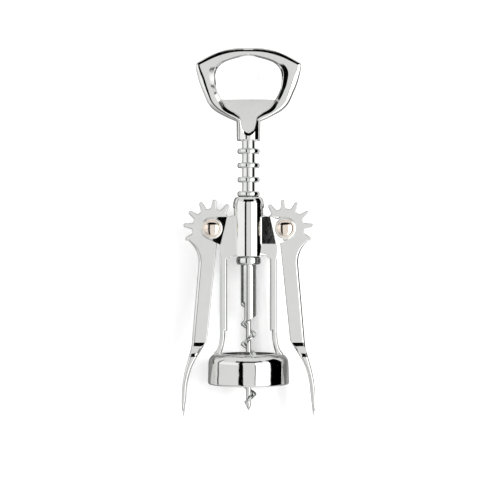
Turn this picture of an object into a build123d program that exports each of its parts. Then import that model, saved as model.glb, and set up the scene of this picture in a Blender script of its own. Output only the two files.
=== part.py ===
"""Wing corkscrew: a bell frame with a geared rack shaft, two geared levers and a bottle-opener handle.

Units are millimetres. The origin is the centre of the bell's rim. +Z runs up the shaft to the
handle, +X out over the right lever, and -Y is the front. Everything is drawn at rest: levers
down, shaft up, worm through the bell.
"""

import os
from math import asin, atan2, ceil, floor, radians, sin, tan

from build123d import *

# ---------------------------------------------------------------- driving dimensions
# Bell: the ring that goes over the bottle's mouth
BELL_RADIUS = 19.25
BELL_HEIGHT = 14.5
BELL_SHOULDER = 4.5          # rounding between the wall and the top
BELL_DRAFT = 0.4             # the wall is this much narrower at its top than at its rim
RIM_ROUND = 1.0
MOUTH_RADIUS = 15.5
MOUTH_CHAMFER = 0.7
SEAT_THICKNESS = 3.0         # the flange that the bottle's mouth bears on
CORK_HOLE_RADIUS = 12.25

# Columns: the two legs between the bell and the ears
COLUMN_INNER_X = 10.2
COLUMN_THICKNESS = 3.3
COLUMN_STEP = 0.9            # the inner face steps outwards low down
COLUMN_STEP_HEIGHT = 25.5
COLUMN_FOOT_SPREAD = 2.8     # how far the foot flares out on the bell
COLUMN_FOOT_RISE = 10.0
COLUMN_EDGE_ROUND = 0.8

# Barrel: the guide tube of the rack shaft
BARREL_RADIUS = 7.4
BARREL_BELOW_PIVOT = 13.1
BARREL_LENGTH = 27.9
BARREL_SHOULDER_RISE = 4.7   # height of the rounded upper end
BARREL_LIP = 0.4            # flat ring left around the bore at the top
BARREL_FILLET = 2.0          # between the barrel and the ears' faces

# Ears: the cheeks that carry the lever pivots, front and back of the lever slot
PIVOT_HEIGHT = 73.7
LUG_RADIUS = 5.45
LUG_THICKNESS = 1.8
BLOCK_RAISE = 0.7            # the block beside the barrel stands this proud of the lug
BLOCK_FOOT_BELOW_PIVOT = 7.7  # where the block's outer edge starts to slope, at the column
BLOCK_CLEARANCE = 0.4        # between that edge and the washer
WEB_RISE = 1.4               # the web's lower edge climbs this much from column to barrel
WEB_SLOPE_START = 1.0        # out from the barrel's wall
EAR_EDGE_ROUND = 0.5
SLOT_CLEARANCE = 0.2         # each side of a lever, and
SWEEP_CLEARANCE = 0.4        # around its teeth

# Rack shaft: rings that the lever teeth climb on
RACK_PITCH = 6.75
RACK_RING_RADIUS = 5.35
RACK_RING_HEIGHT = 2.7
RACK_CORE_RADIUS = 3.25
RACK_RING_SIDE = 1.0         # flat side of a ring, out from the core, before its round rim starts
RACK_END_CLEARANCE = 0.5     # at least, between the outermost rings and the shaft's shoulders
BORE_CLEARANCE = 0.12
SPIGOT_RADIUS = 2.2          # lower end of the shaft, in the worm's shank
SPIGOT_LENGTH = 14.0
TRAVEL = 26.3
STOP_GAP = 0.2               # left between the handle's neck and the barrel at the lower stop

# Lever gear
TOOTH_ANGLE = 29.3           # degrees between teeth
FIRST_TOOTH_LEAN = 2.6       # degrees by which the tooth at the rack points down at rest
TOOTH_COUNT = 8
TOOTH_ADDENDUM = 0.45
TOOTH_DEPTH = 4.2
TOOTH_BASE_WIDTH = 2.9
TOOTH_TIP_WIDTH = 1.7
TOOTH_ROOT_ROUND = 0.85
PITCH_LINE_RADIUS = 4.04     # of the rack, where rack and gear roll on each other

# Lever arm and thumb paddle. Places are (outwards, up) from the pivot
LEVER_THICKNESS = 4.8
HUB_RADIUS = 6.2
ARM_TOP_INNER = (-2.1, -8.6)
ARM_END_INNER = (2.4, -53.2)
ARM_WAIST_OUTER = (5.9, -11.5)
ARM_WAIST_ROUND = 13.0
ARM_SHOULDER_LEAN = 48.0     # degrees above level of the edge from the waist up to the last tooth
ARM_END_OUTER = (9.8, -56.5)
ARM_END_ROUND = 14.0
ARM_FLANK_ROUND = 1.5
ARM_ROOT_IN_PADDLE = 1.2     # how far the slim arm runs on inside the wide paddle
PADDLE_ROOT_INSET = 0.3      # the paddle starts this much slimmer than the arm, each side
PADDLE_BEND_INNER = (11.2, -67.4)
PADDLE_BEND_INNER_ROUND = 32.0
PADDLE_TIP_INNER = (12.85, -87.2)
PADDLE_TIP = (13.45, -89.1)
PADDLE_TIP_OUTER = (14.05, -87.4)
PADDLE_BEND_OUTER = (14.6, -73.8)
PADDLE_BEND_OUTER_ROUND = 60.0
PADDLE_WIDTH = 13.6
PADDLE_SHOULDER = 53.8       # below the pivot, where the arm starts to widen
PADDLE_FULL_WIDTH = 61.5

# Pivot rivets and the washers under their heads
RIVET_RADIUS = 2.5
RIVET_HEAD_RADIUS = 4.0
RIVET_HEAD_HEIGHT = 2.1
RIVET_HEAD_SIDE = 0.45       # straight side under the dome
CLINCH_RADIUS = 3.8
CLINCH_HEIGHT = 1.3
CLINCH_SIDE = 0.3
RIVET_CLEARANCE = 0.06       # radial, in the lever's hub
WASHER_RADIUS = 4.85
WASHER_THICKNESS = 0.6
WASHER_CLEARANCE = 0.1       # radial, around the rivet
WASHER_EDGE = 0.15

# Stop collar: a loose ring between the rack and the worm's shank
COLLAR_RADIUS = 5.75
COLLAR_HEIGHT = 3.9
COLLAR_ROUND = 1.2
COLLAR_CLEARANCE = 0.06      # radial, around the spigot
COLLAR_PLAY = 0.05           # at each end
COLLAR_STOP_GAP = 0.15       # under the barrel at rest

# Worm: a pointed rod with one deep right-handed groove, which leaves a thin core and a blade
WORM_RADIUS = 3.7
WORM_LENGTH = 69.0           # shank and point included
WORM_SHANK_LENGTH = 21.6     # from the top to the middle of the groove's upper end
WORM_CORE_RADIUS = 1.2
WORM_PITCH = 9.5
WORM_ROOT_WIDTH = 2.8        # of the blade, at the core
WORM_EDGE_WIDTH = 0.35       # of the blade, at its edge
WORM_GROOVE_END = 247.0      # degrees round from +X where the groove runs out in the shank
WORM_POINT_LENGTH = 7.6
WORM_POINT_RADIUS = 0.15

# Handle: a bottle-opener loop on a round neck. Places are (half-width, height above the neck's foot)
NECK_RADIUS = 5.7
NECK_CHAMFER = 0.6
NECK_HEIGHT = 11.5
NECK_FLARE_HEIGHT = 8.3      # where the round neck starts to spread into the loop
NECK_BLEND = (1.4, 2.0)      # how far that spread goes outwards and up
NECK_FLARE_SLOPE = 0.42
SHAFT_SEAT_DEPTH = 7.0       # how far the rack shaft goes up into the neck
LOOP_THICKNESS = 8.0
LOOP_ARCH_TOP = 44.1
LOOP_ARCH_X = 11.6           # corner of the arch before it is rounded
LOOP_ARCH_ROUND = 36.0
LOOP_CORNER = (25.3, 36.6)
LOOP_CORNER_ROUND = 2.6
LOOP_SIDE = (23.9, 28.6)     # where the side bends in
LOOP_SIDE_ROUND = 40.0
LOOP_HIP = (18.3, 15.6)
LOOP_HIP_ROUND = 12.0
LOOP_FOOT = (9.0, 10.9)
LOOP_EDGE_ROUND = 1.35
WEB_THICKNESS = 3.2          # the web that a bottle cap is levered on
WEB_TOP = 19.7
POCKET_RIM = [
    (0, 41.4), (8.8, 39.8), (15.3, 37.1), (18.6, 33.0), (18.2, 27.6), (16.2, 23.0),
    (13.4, 17.8), (11.3, 14.0), (7.4, 12.3), (4.5, 10.4), (3.7, 6.5), (0, 2.9),
]
POCKET_FLOOR = [
    (0, 40.7), (7.8, 39.4), (12.8, 37.1), (15.4, 32.8), (15.3, 26.6), (14.0, 21.8),
    (11.2, 17.6), (8.9, 14.9), (6.1, 13.2), (4.0, 11.4), (3.2, 7.6), (0, 5.0),
]
RAMP_TOP_HEIGHT = 15.0       # the web's face slopes out from here to the tongue's end
RAMP_FOOT_HEIGHT = 4.0
RAMP_FOOT_DEPTH = 3.5

# ---------------------------------------------------------------- values worked out from them
PITCH_RADIUS = RACK_PITCH / radians(TOOTH_ANGLE)
PIVOT_X = PITCH_LINE_RADIUS + PITCH_RADIUS
TIP_RADIUS = PITCH_RADIUS + TOOTH_ADDENDUM
ROOT_RADIUS = TIP_RADIUS - TOOTH_DEPTH
FIRST_TOOTH_ANGLE = 180 + FIRST_TOOTH_LEAN
LAST_TOOTH_ANGLE = FIRST_TOOTH_ANGLE - TOOTH_ANGLE * (TOOTH_COUNT - 1)
RACK_MESH_HEIGHT = PIVOT_HEIGHT - PITCH_RADIUS * sin(radians(FIRST_TOOTH_LEAN))
SLOT_HALF = LEVER_THICKNESS / 2 + SLOT_CLEARANCE
LUG_FACE = SLOT_HALF + LUG_THICKNESS
BLOCK_FACE = LUG_FACE + BLOCK_RAISE
LUG_TOP = PIVOT_HEIGHT + LUG_RADIUS
COLUMN_OUTER_X = COLUMN_INNER_X + COLUMN_THICKNESS
BORE_RADIUS = RACK_RING_RADIUS + BORE_CLEARANCE
BLOCK_FOOT_HEIGHT = PIVOT_HEIGHT - BLOCK_FOOT_BELOW_PIVOT
BARREL_BOTTOM = PIVOT_HEIGHT - BARREL_BELOW_PIVOT
BARREL_TOP = BARREL_BOTTOM + BARREL_LENGTH
NECK_FOOT = BARREL_TOP + TRAVEL + STOP_GAP
COLLAR_TOP = BARREL_BOTTOM - COLLAR_STOP_GAP
COLLAR_BOTTOM = COLLAR_TOP - COLLAR_HEIGHT
RACK_SHOULDER = COLLAR_TOP + COLLAR_PLAY
SHANK_TOP = COLLAR_BOTTOM - COLLAR_PLAY
WORM_TIP = SHANK_TOP - WORM_LENGTH
SEAT_HEIGHT = BELL_HEIGHT - SEAT_THICKNESS
WASHER_OUTER_FACE = LUG_FACE + WASHER_THICKNESS


# ---------------------------------------------------------------- shared helpers
def upright(face, half_depth):
    """A face drawn in the X-Z plane, made solid to half_depth in front and behind."""
    return extrude(Plane.XZ * face, half_depth, both=True)


def turned(face):
    """A half-section drawn as (radius, height), turned about the shaft's axis."""
    return revolve(Plane.XZ * face, Axis.Z)


def mirrored(points):
    """The same points with the sign of their first coordinate changed, in reverse order."""
    return [(-x, z) for x, z in reversed(points)]


def at_pivot(side):
    """The place of a lever's pivot: side is 1 on the right and -1 on the left."""
    return Pos(side * PIVOT_X, 0, PIVOT_HEIGHT)


# ---------------------------------------------------------------- bell frame
def bell():
    """The ring round the bottle's mouth, with its seat flange and the cork's hole."""
    outline = make_face(
        Polyline(
            (CORK_HOLE_RADIUS, BELL_HEIGHT),
            (BELL_RADIUS - BELL_DRAFT, BELL_HEIGHT),
            (BELL_RADIUS, 0),
            (MOUTH_RADIUS, 0),
            (MOUTH_RADIUS, SEAT_HEIGHT),
            (CORK_HOLE_RADIUS, SEAT_HEIGHT),
            close=True,
        )
    )
    wall_top = outline.vertices().sort_by(Axis.X)[-2]
    outline = fillet(wall_top, BELL_SHOULDER)
    rim_outer = outline.vertices().group_by(Axis.Y)[0].sort_by(Axis.X)[-1]
    outline = fillet(rim_outer, RIM_ROUND)
    rim_inner = outline.vertices().group_by(Axis.Y)[0].sort_by(Axis.X)[0]
    return turned(chamfer(rim_inner, MOUTH_CHAMFER))


def column():
    """The right leg, from its flared foot on the bell up into the ear."""
    root = BELL_HEIGHT - BELL_SHOULDER / 2
    waist_inner_x = COLUMN_INNER_X + COLUMN_STEP
    foot_inner_x = CORK_HOLE_RADIUS + MOUTH_CHAMFER
    foot_outer_x = COLUMN_OUTER_X + COLUMN_FOOT_SPREAD
    flare_top = BELL_HEIGHT + COLUMN_FOOT_RISE
    inner_flare = Spline(
        (waist_inner_x, flare_top),
        (foot_inner_x, BELL_HEIGHT),
        tangents=[(0, -1), (foot_inner_x - waist_inner_x, -COLUMN_FOOT_RISE / 2)],
    )
    outer_flare = Spline(
        (foot_outer_x, BELL_HEIGHT), (COLUMN_OUTER_X, flare_top), tangents=[(-1, 1), (0, 1)]
    )
    foot = Polyline(
        (foot_inner_x, BELL_HEIGHT),
        (foot_inner_x, root),
        (foot_outer_x, root),
        (foot_outer_x, BELL_HEIGHT),
    )
    shank = Polyline(
        (COLUMN_OUTER_X, flare_top),
        (COLUMN_OUTER_X, BLOCK_FOOT_HEIGHT),
        (COLUMN_INNER_X, BLOCK_FOOT_HEIGHT),
        (COLUMN_INNER_X, COLUMN_STEP_HEIGHT),
        (waist_inner_x, COLUMN_STEP_HEIGHT),
        (waist_inner_x, flare_top),
    )
    leg = upright(make_face(Curve() + inner_flare + foot + outer_flare + shank), BLOCK_FACE)
    below_ears = leg.edges().filter_by(
        lambda e: abs(abs(e.center().Y) - BLOCK_FACE) < 0.01 and e.center().Z < BLOCK_FOOT_HEIGHT - 1
    )
    return fillet(below_ears, COLUMN_EDGE_ROUND)


def ear():
    """The right column and cheek before the slot is cut: a raised block and a lug for the pivot."""
    web_foot = BARREL_BOTTOM - WEB_RISE
    across, up = PIVOT_X - COLUMN_OUTER_X, PIVOT_HEIGHT - BLOCK_FOOT_HEIGHT
    washer_room = WASHER_RADIUS + BLOCK_CLEARANCE
    slope = atan2(up, across) + asin(washer_room / Vector(across, up).length)
    block_top_x = COLUMN_OUTER_X + (LUG_TOP - BLOCK_FOOT_HEIGHT) / tan(slope)
    block = make_face(
        Polyline(
            (0, BARREL_BOTTOM),
            (BARREL_RADIUS + WEB_SLOPE_START, BARREL_BOTTOM),
            (COLUMN_INNER_X, web_foot),
            (COLUMN_OUTER_X, web_foot),
            (COLUMN_OUTER_X, BLOCK_FOOT_HEIGHT),
            (block_top_x, LUG_TOP),
            (0, LUG_TOP),
            close=True,
        )
    )
    lug = make_hull(
        (Pos(PIVOT_X, PIVOT_HEIGHT) * Circle(LUG_RADIUS)).edges()
        + Polyline((0, LUG_TOP), (0, BARREL_BOTTOM), (COLUMN_OUTER_X, BLOCK_FOOT_HEIGHT)).edges()
    )
    cheek = column() + upright(block, BLOCK_FACE) + upright(lug, LUG_FACE)
    block_rim = cheek.edges().filter_by(
        lambda e: abs(abs(e.center().Y) - BLOCK_FACE) < 0.01
        and e.center().X > COLUMN_INNER_X
        and e.center().Z > BLOCK_FOOT_HEIGHT
    )
    lug_rim = cheek.edges().filter_by(
        lambda e: abs(abs(e.center().Y) - LUG_FACE) < 0.01 and e.center().X > PIVOT_X
    )
    return fillet(block_rim + lug_rim, EAR_EDGE_ROUND)


def barrel():
    """The guide tube, before its bore: a drum with a long rounded upper shoulder."""
    lip_radius = BORE_RADIUS + BARREL_LIP
    shoulder_foot = BARREL_TOP - BARREL_SHOULDER_RISE
    shoulder = EllipticalCenterArc(
        (lip_radius, shoulder_foot),
        BARREL_RADIUS - lip_radius,
        BARREL_SHOULDER_RISE,
        start_angle=0,
        arc_size=90,
    )
    walls = Polyline(
        (lip_radius, BARREL_TOP),
        (0, BARREL_TOP),
        (0, BARREL_BOTTOM),
        (BARREL_RADIUS, BARREL_BOTTOM),
        (BARREL_RADIUS, shoulder_foot),
    )
    return turned(make_face(Curve() + shoulder + walls))


def bell_frame():
    """Bell, columns, ears and barrel: one casting, with the slots that the levers swing in."""
    right = ear()
    frame = barrel() + right + mirror(right, Plane.YZ)
    inside_corners = frame.edges().filter_by(Axis.Z).filter_by(
        lambda e: abs(abs(e.center().Y) - BLOCK_FACE) < 0.01 and abs(e.center().X) < BARREL_RADIUS
    )
    frame = fillet(inside_corners, BARREL_FILLET)
    frame += bell()
    frame -= Pos(0, 0, BARREL_BOTTOM) * Cylinder(
        BORE_RADIUS, BARREL_LENGTH, align=(Align.CENTER, Align.CENTER, Align.MIN)
    )
    sweep_round_teeth = Rot(90, 0, 0) * Cylinder(TIP_RADIUS + SWEEP_CLEARANCE, 2 * SLOT_HALF)
    pivot_hole = Rot(90, 0, 0) * Cylinder(RIVET_RADIUS, 3 * BLOCK_FACE)
    for side in (1, -1):
        frame -= at_pivot(side) * sweep_round_teeth
        frame -= at_pivot(side) * pivot_hole
    return frame


# ---------------------------------------------------------------- levers
def tooth():
    """One finger-shaped tooth, pointing along +X from the gear's centre."""
    tip_round = TOOTH_TIP_WIDTH / 2
    finger = make_face(
        Polyline(
            (ROOT_RADIUS - TOOTH_ROOT_ROUND, -TOOTH_BASE_WIDTH / 2),
            (TIP_RADIUS - tip_round, -tip_round),
            (TIP_RADIUS - tip_round, tip_round),
            (ROOT_RADIUS - TOOTH_ROOT_ROUND, TOOTH_BASE_WIDTH / 2),
            close=True,
        )
    )
    return finger + Pos(TIP_RADIUS - tip_round, 0) * Circle(tip_round)


def gear_outline():
    """The toothed sector. Its first tooth points at the rack, the rest follow over the top."""
    first_edge = FIRST_TOOTH_ANGLE + TOOTH_ANGLE / 4
    rim = CenterArc((0, 0), ROOT_RADIUS, LAST_TOOTH_ANGLE, first_edge - LAST_TOOTH_ANGLE)
    outline = make_face(Curve() + rim + Polyline(rim @ 1, (0, 0), rim @ 0))
    outline += Circle(HUB_RADIUS)
    for place in range(TOOTH_COUNT):
        outline += Rot(0, 0, FIRST_TOOTH_ANGLE - TOOTH_ANGLE * place) * tooth()
    gullets = outline.vertices().filter_by(
        lambda v: abs(v.center().length - ROOT_RADIUS) < 0.05 and v.Y > (rim @ 0).Y + 1
    )
    return fillet(gullets, TOOTH_ROOT_ROUND)


def arm_outline():
    """The arm and the thumb paddle that curves away at its end."""
    tip_round = TOOTH_TIP_WIDTH / 2
    shoulder = Vector(TIP_RADIUS - tip_round, 0).rotate(Axis.Z, LAST_TOOTH_ANGLE)
    shoulder += Vector(tip_round, 0).rotate(Axis.Z, ARM_SHOULDER_LEAN - 90)
    outer = FilletPolyline(
        PADDLE_TIP_OUTER,
        PADDLE_BEND_OUTER,
        ARM_END_OUTER,
        ARM_WAIST_OUTER,
        shoulder,
        radius=[PADDLE_BEND_OUTER_ROUND, ARM_END_ROUND, ARM_WAIST_ROUND],
    )
    inner = FilletPolyline(
        ARM_END_INNER, PADDLE_BEND_INNER, PADDLE_TIP_INNER, radius=PADDLE_BEND_INNER_ROUND
    )
    tip = ThreePointArc(PADDLE_TIP_INNER, PADDLE_TIP, PADDLE_TIP_OUTER)
    into_hub = Polyline(shoulder, (0, 0), ARM_TOP_INNER, ARM_END_INNER)
    return make_face(Curve() + outer + into_hub + inner + tip)


def side_silhouette():
    """The lever seen from its side, as (depth, height from the pivot): slim arm, wide paddle."""
    slim, wide = LEVER_THICKNESS / 2 - PADDLE_ROOT_INSET, PADDLE_WIDTH / 2
    widening = Spline(
        (slim, -PADDLE_SHOULDER), (wide, -PADDLE_FULL_WIDTH), tangents=[(0.6, -1), (0, -1)]
    )
    rounding = EllipticalCenterArc(
        (0, PADDLE_TIP[1] + wide), wide, wide, start_angle=-90, arc_size=90
    )
    half = make_face(
        Curve()
        + Line((slim, TIP_RADIUS), (slim, -PADDLE_SHOULDER))
        + widening
        + Line((wide, -PADDLE_FULL_WIDTH), (wide, PADDLE_TIP[1] + wide))
        + rounding
        + Polyline((0, PADDLE_TIP[1]), (0, TIP_RADIUS), (slim, TIP_RADIUS))
    )
    return half + mirror(half, Plane.YZ)


def lever(side):
    """Gear, arm and thumb paddle in one piece. side is 1 for the right lever, -1 for the left."""
    outline = arm_outline()
    reach = -2 * PADDLE_TIP[1]
    arm_end = -PADDLE_SHOULDER - ARM_ROOT_IN_PADDLE
    arm_only = Pos(0, arm_end) * Rectangle(reach, reach, align=(Align.CENTER, Align.MIN))
    arm = upright(outline & arm_only, LEVER_THICKNESS / 2)
    flank = arm.edges().filter_by(
        lambda e: abs(abs(e.center().Y) - LEVER_THICKNESS / 2) < 0.01
        and arm_end < e.center().Z < -HUB_RADIUS
        and e.center().X > (ARM_TOP_INNER[0] + ARM_WAIST_OUTER[0]) / 2
    )
    arm = fillet(flank, ARM_FLANK_ROUND)
    paddle_only = Pos(0, -PADDLE_SHOULDER) * Rectangle(reach, reach, align=(Align.CENTER, Align.MAX))
    paddle = upright(outline & paddle_only, PADDLE_WIDTH / 2)
    paddle &= extrude(Plane.YZ * side_silhouette(), reach, both=True)
    blank = upright(gear_outline(), LEVER_THICKNESS / 2) + arm + paddle
    blank -= Rot(90, 0, 0) * Cylinder(RIVET_RADIUS + RIVET_CLEARANCE, 2 * LEVER_THICKNESS)
    placed = at_pivot(1) * blank
    return placed if side > 0 else mirror(placed, Plane.YZ)


# ---------------------------------------------------------------- pivots
def dome(radius, height, side_height):
    """A shallow dome on a short straight side, standing on the X-Y plane."""
    fall = height - side_height
    ball = (radius**2 + fall**2) / (2 * fall)
    cap = Pos(0, 0, height - ball) * Rot(90, 0, 0) * Sphere(ball)
    return cap & Cylinder(radius, height, align=(Align.CENTER, Align.CENTER, Align.MIN))


def rivet(side):
    """A rivet through the ears and the lever: domed head in front, clinched end behind."""
    head = dome(RIVET_HEAD_RADIUS, RIVET_HEAD_HEIGHT, RIVET_HEAD_SIDE)
    clinch = dome(CLINCH_RADIUS, CLINCH_HEIGHT, CLINCH_SIDE)
    shank = Cylinder(RIVET_RADIUS, 2 * WASHER_OUTER_FACE)
    pin = shank + Pos(0, 0, WASHER_OUTER_FACE) * head
    pin += Pos(0, 0, -WASHER_OUTER_FACE) * Rot(180, 0, 0) * clinch
    return at_pivot(side) * Rot(90, 0, 0) * pin


def washer(side, face):
    """A flat washer under a rivet head: face is -1 in front and 1 behind."""
    middle = LUG_FACE + WASHER_THICKNESS / 2
    disc = Cylinder(WASHER_RADIUS, WASHER_THICKNESS)
    disc = chamfer(disc.edges().filter_by(GeomType.CIRCLE), WASHER_EDGE)
    disc -= Cylinder(RIVET_RADIUS + WASHER_CLEARANCE, WASHER_THICKNESS)
    return at_pivot(side) * Pos(0, face * middle, 0) * Rot(90, 0, 0) * disc


# ---------------------------------------------------------------- shaft, collar and worm
def rack_ring():
    """One ring of the rack about the origin: flat sides and a rim rounded in one arc."""
    half_height = RACK_RING_HEIGHT / 2
    rim_start = RACK_CORE_RADIUS + RACK_RING_SIDE
    rim = ThreePointArc((rim_start, -half_height), (RACK_RING_RADIUS, 0), (rim_start, half_height))
    return turned(make_face(Curve() + rim + Polyline(rim @ 1, (0, half_height), (0, -half_height), rim @ 0)))


def rack_shaft():
    """The turned shaft: rings on a core, between two spigots."""
    spigot_foot, spigot_top = SHANK_TOP - SPIGOT_LENGTH, NECK_FOOT + SHAFT_SEAT_DEPTH
    shaft = turned(
        make_face(
            Polyline(
                (0, spigot_foot),
                (SPIGOT_RADIUS, spigot_foot),
                (SPIGOT_RADIUS, RACK_SHOULDER),
                (RACK_CORE_RADIUS, RACK_SHOULDER),
                (RACK_CORE_RADIUS, NECK_FOOT),
                (SPIGOT_RADIUS, NECK_FOOT),
                (SPIGOT_RADIUS, spigot_top),
                (0, spigot_top),
                close=True,
            )
        )
    )
    end_room = RACK_RING_HEIGHT / 2 + RACK_END_CLEARANCE
    first_ring = RACK_MESH_HEIGHT + RACK_PITCH / 2
    lowest = ceil((RACK_SHOULDER + end_room - first_ring) / RACK_PITCH)
    highest = floor((NECK_FOOT - end_room - first_ring) / RACK_PITCH)
    for place in range(lowest, highest + 1):
        shaft += Pos(0, 0, first_ring + RACK_PITCH * place) * rack_ring()
    return shaft


def stop_collar():
    """The ring that meets the barrel's foot when the shaft is fully up."""
    bore = SPIGOT_RADIUS + COLLAR_CLEARANCE
    outline = make_face(
        Polyline(
            (bore, COLLAR_BOTTOM),
            (COLLAR_RADIUS, COLLAR_BOTTOM),
            (COLLAR_RADIUS, COLLAR_TOP),
            (bore, COLLAR_TOP),
            close=True,
        )
    )
    return turned(fillet(outline.vertices().group_by(Axis.X)[-1], COLLAR_ROUND))


def worm_groove():
    """The space between the blade's turns, from below the point up to its run-out in the shank."""
    root_half = (WORM_PITCH - WORM_ROOT_WIDTH) / 2
    edge_half = (WORM_PITCH - WORM_EDGE_WIDTH) / 2
    flank = (edge_half - root_half) / (WORM_RADIUS - WORM_CORE_RADIUS)
    outside = WORM_RADIUS + WORM_EDGE_WIDTH / 2
    outside_half = root_half + flank * (outside - WORM_CORE_RADIUS)
    section = make_face(
        Polyline(
            (WORM_CORE_RADIUS, -root_half),
            (outside, -outside_half),
            (outside, outside_half),
            (WORM_CORE_RADIUS, root_half),
            close=True,
        )
    )
    run_out = SHANK_TOP - WORM_SHANK_LENGTH
    length = run_out - WORM_TIP + WORM_PITCH / 2
    start_angle = WORM_GROOVE_END - 360 * length / WORM_PITCH
    groove = sweep(Plane.XZ * section, path=Helix(WORM_PITCH, length, WORM_CORE_RADIUS), is_frenet=True)
    return Pos(0, 0, run_out - length) * Rot(0, 0, start_angle) * groove


def worm():
    """Shank, core and blade in one piece, ground to a point and bored for the rack shaft."""
    rod = turned(
        make_face(
            Polyline(
                (0, WORM_TIP),
                (WORM_POINT_RADIUS, WORM_TIP),
                (WORM_RADIUS, WORM_TIP + WORM_POINT_LENGTH),
                (WORM_RADIUS, SHANK_TOP),
                (0, SHANK_TOP),
                close=True,
            )
        )
    )
    auger = rod - worm_groove()
    return auger - Pos(0, 0, SHANK_TOP) * Cylinder(
        SPIGOT_RADIUS, SPIGOT_LENGTH, align=(Align.CENTER, Align.CENTER, Align.MAX)
    )


# ---------------------------------------------------------------- handle
def loop_outline():
    """The outside of the bottle-opener loop, as (half-width, height above the neck's foot)."""
    right = FilletPolyline(
        (0, LOOP_ARCH_TOP),
        (LOOP_ARCH_X, LOOP_ARCH_TOP),
        LOOP_CORNER,
        LOOP_SIDE,
        LOOP_HIP,
        LOOP_FOOT,
        radius=[LOOP_ARCH_ROUND, LOOP_CORNER_ROUND, LOOP_SIDE_ROUND, LOOP_HIP_ROUND],
    )
    right += Polyline(LOOP_FOOT, (LOOP_FOOT[0], NECK_FLARE_HEIGHT), (0, NECK_FLARE_HEIGHT))
    return make_face(Curve() + right + mirror(right, Plane.YZ))


def pocket_outline(half):
    """A closed smooth outline through half's points and their mirror images."""
    return make_face(Spline(*half, *mirrored(half[1:-1]), periodic=True))


def pocket():
    """What is taken out of the loop's front: a dished rim round the hole, the web and the tongue."""
    floor_depth = WEB_THICKNESS / 2
    spread = (2 * NECK_RADIUS - floor_depth) / (LOOP_THICKNESS / 2 - floor_depth)
    clear_outline = [
        (floor_x + (rim_x - floor_x) * spread, floor_z + (rim_z - floor_z) * spread)
        for (floor_x, floor_z), (rim_x, rim_z) in zip(POCKET_FLOOR, POCKET_RIM)
    ]
    floor = Plane.XZ.offset(floor_depth) * pocket_outline(POCKET_FLOOR)
    clear = Plane.XZ.offset(2 * NECK_RADIUS) * pocket_outline(clear_outline)
    ramp = make_face(
        Polyline(
            (0, 0),
            (-RAMP_FOOT_DEPTH, 0),
            (-RAMP_FOOT_DEPTH, RAMP_FOOT_HEIGHT),
            (-floor_depth, RAMP_TOP_HEIGHT),
            (0, RAMP_TOP_HEIGHT),
            close=True,
        )
    )
    return loft([floor, clear], ruled=True) - extrude(Plane.YZ * ramp, LOOP_CORNER[0], both=True)


def neck_flare():
    """A turned envelope that blends the loop's foot into the round neck."""
    reach = 2 * LOOP_CORNER[0]
    start = (NECK_RADIUS, NECK_FLARE_HEIGHT)
    end = (start[0] + NECK_BLEND[0], start[1] + NECK_BLEND[1])
    blend = Spline(start, end, tangents=[(0, 1), (1, NECK_FLARE_SLOPE)])
    walls = Polyline(
        end,
        (end[0] + reach, end[1] + NECK_FLARE_SLOPE * reach),
        (end[0] + reach, 2 * LOOP_ARCH_TOP),
        (0, 2 * LOOP_ARCH_TOP),
        (0, NECK_FLARE_HEIGHT),
        start,
    )
    return turned(make_face(Curve() + blend + walls))


def handle():
    """Opener loop, opener web and neck: one casting, bored for the rack shaft."""
    loop = upright(loop_outline(), LOOP_THICKNESS / 2)
    rounded = loop.edges().filter_by(
        lambda e: abs(abs(e.center().Y) - LOOP_THICKNESS / 2) < 0.01 and e.center().Z > LOOP_FOOT[1]
    )
    loop = fillet(rounded, LOOP_EDGE_ROUND) & neck_flare()
    neck = Cylinder(NECK_RADIUS, NECK_HEIGHT, align=(Align.CENTER, Align.CENTER, Align.MIN))
    neck = chamfer(neck.edges().group_by(Axis.Z)[0], NECK_CHAMFER)
    body = loop + neck
    front = pocket()
    body -= front
    body -= mirror(front, Plane.XZ)
    above_web = Pos(0, WEB_TOP) * Rectangle(
        2 * LOOP_CORNER[0], LOOP_ARCH_TOP, align=(Align.CENTER, Align.MIN)
    )
    body -= upright(pocket_outline(POCKET_FLOOR) & above_web, LOOP_THICKNESS)
    body -= Cylinder(SPIGOT_RADIUS, SHAFT_SEAT_DEPTH, align=(Align.CENTER, Align.CENTER, Align.MIN))
    return Pos(0, 0, NECK_FOOT) * body


# ---------------------------------------------------------------- all nodes
def nodes():
    """Every piece by its name."""
    pieces = {
        "bell_frame": bell_frame(),
        "handle": handle(),
        "rack_shaft": rack_shaft(),
        "stop_collar": stop_collar(),
        "worm": worm(),
    }
    for side, name in ((1, "right"), (-1, "left")):
        pieces[f"{name}_lever"] = lever(side)
        pieces[f"{name}_pivot_rivet"] = rivet(side)
        pieces[f"{name}_front_washer"] = washer(side, -1)
        pieces[f"{name}_back_washer"] = washer(side, 1)
    return pieces


if __name__ == "__main__":
    os.makedirs("parts", exist_ok=True)
    for node, solid in nodes().items():
        solid.label = node
        export_step(solid, f"parts/{node}.step")
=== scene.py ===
"""Dresses the wing corkscrew: castings in chrome, a ringed shaft, a turned worm and coppered rivets.

Sizes are in millimetres, which MM turns into the scene's metres. Heights are from the bell's rim.
"""

from __future__ import annotations

import logging
import math
from dataclasses import dataclass, field
from enum import Enum, IntEnum

import bmesh
import bpy
from mathutils import Matrix, Vector


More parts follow.
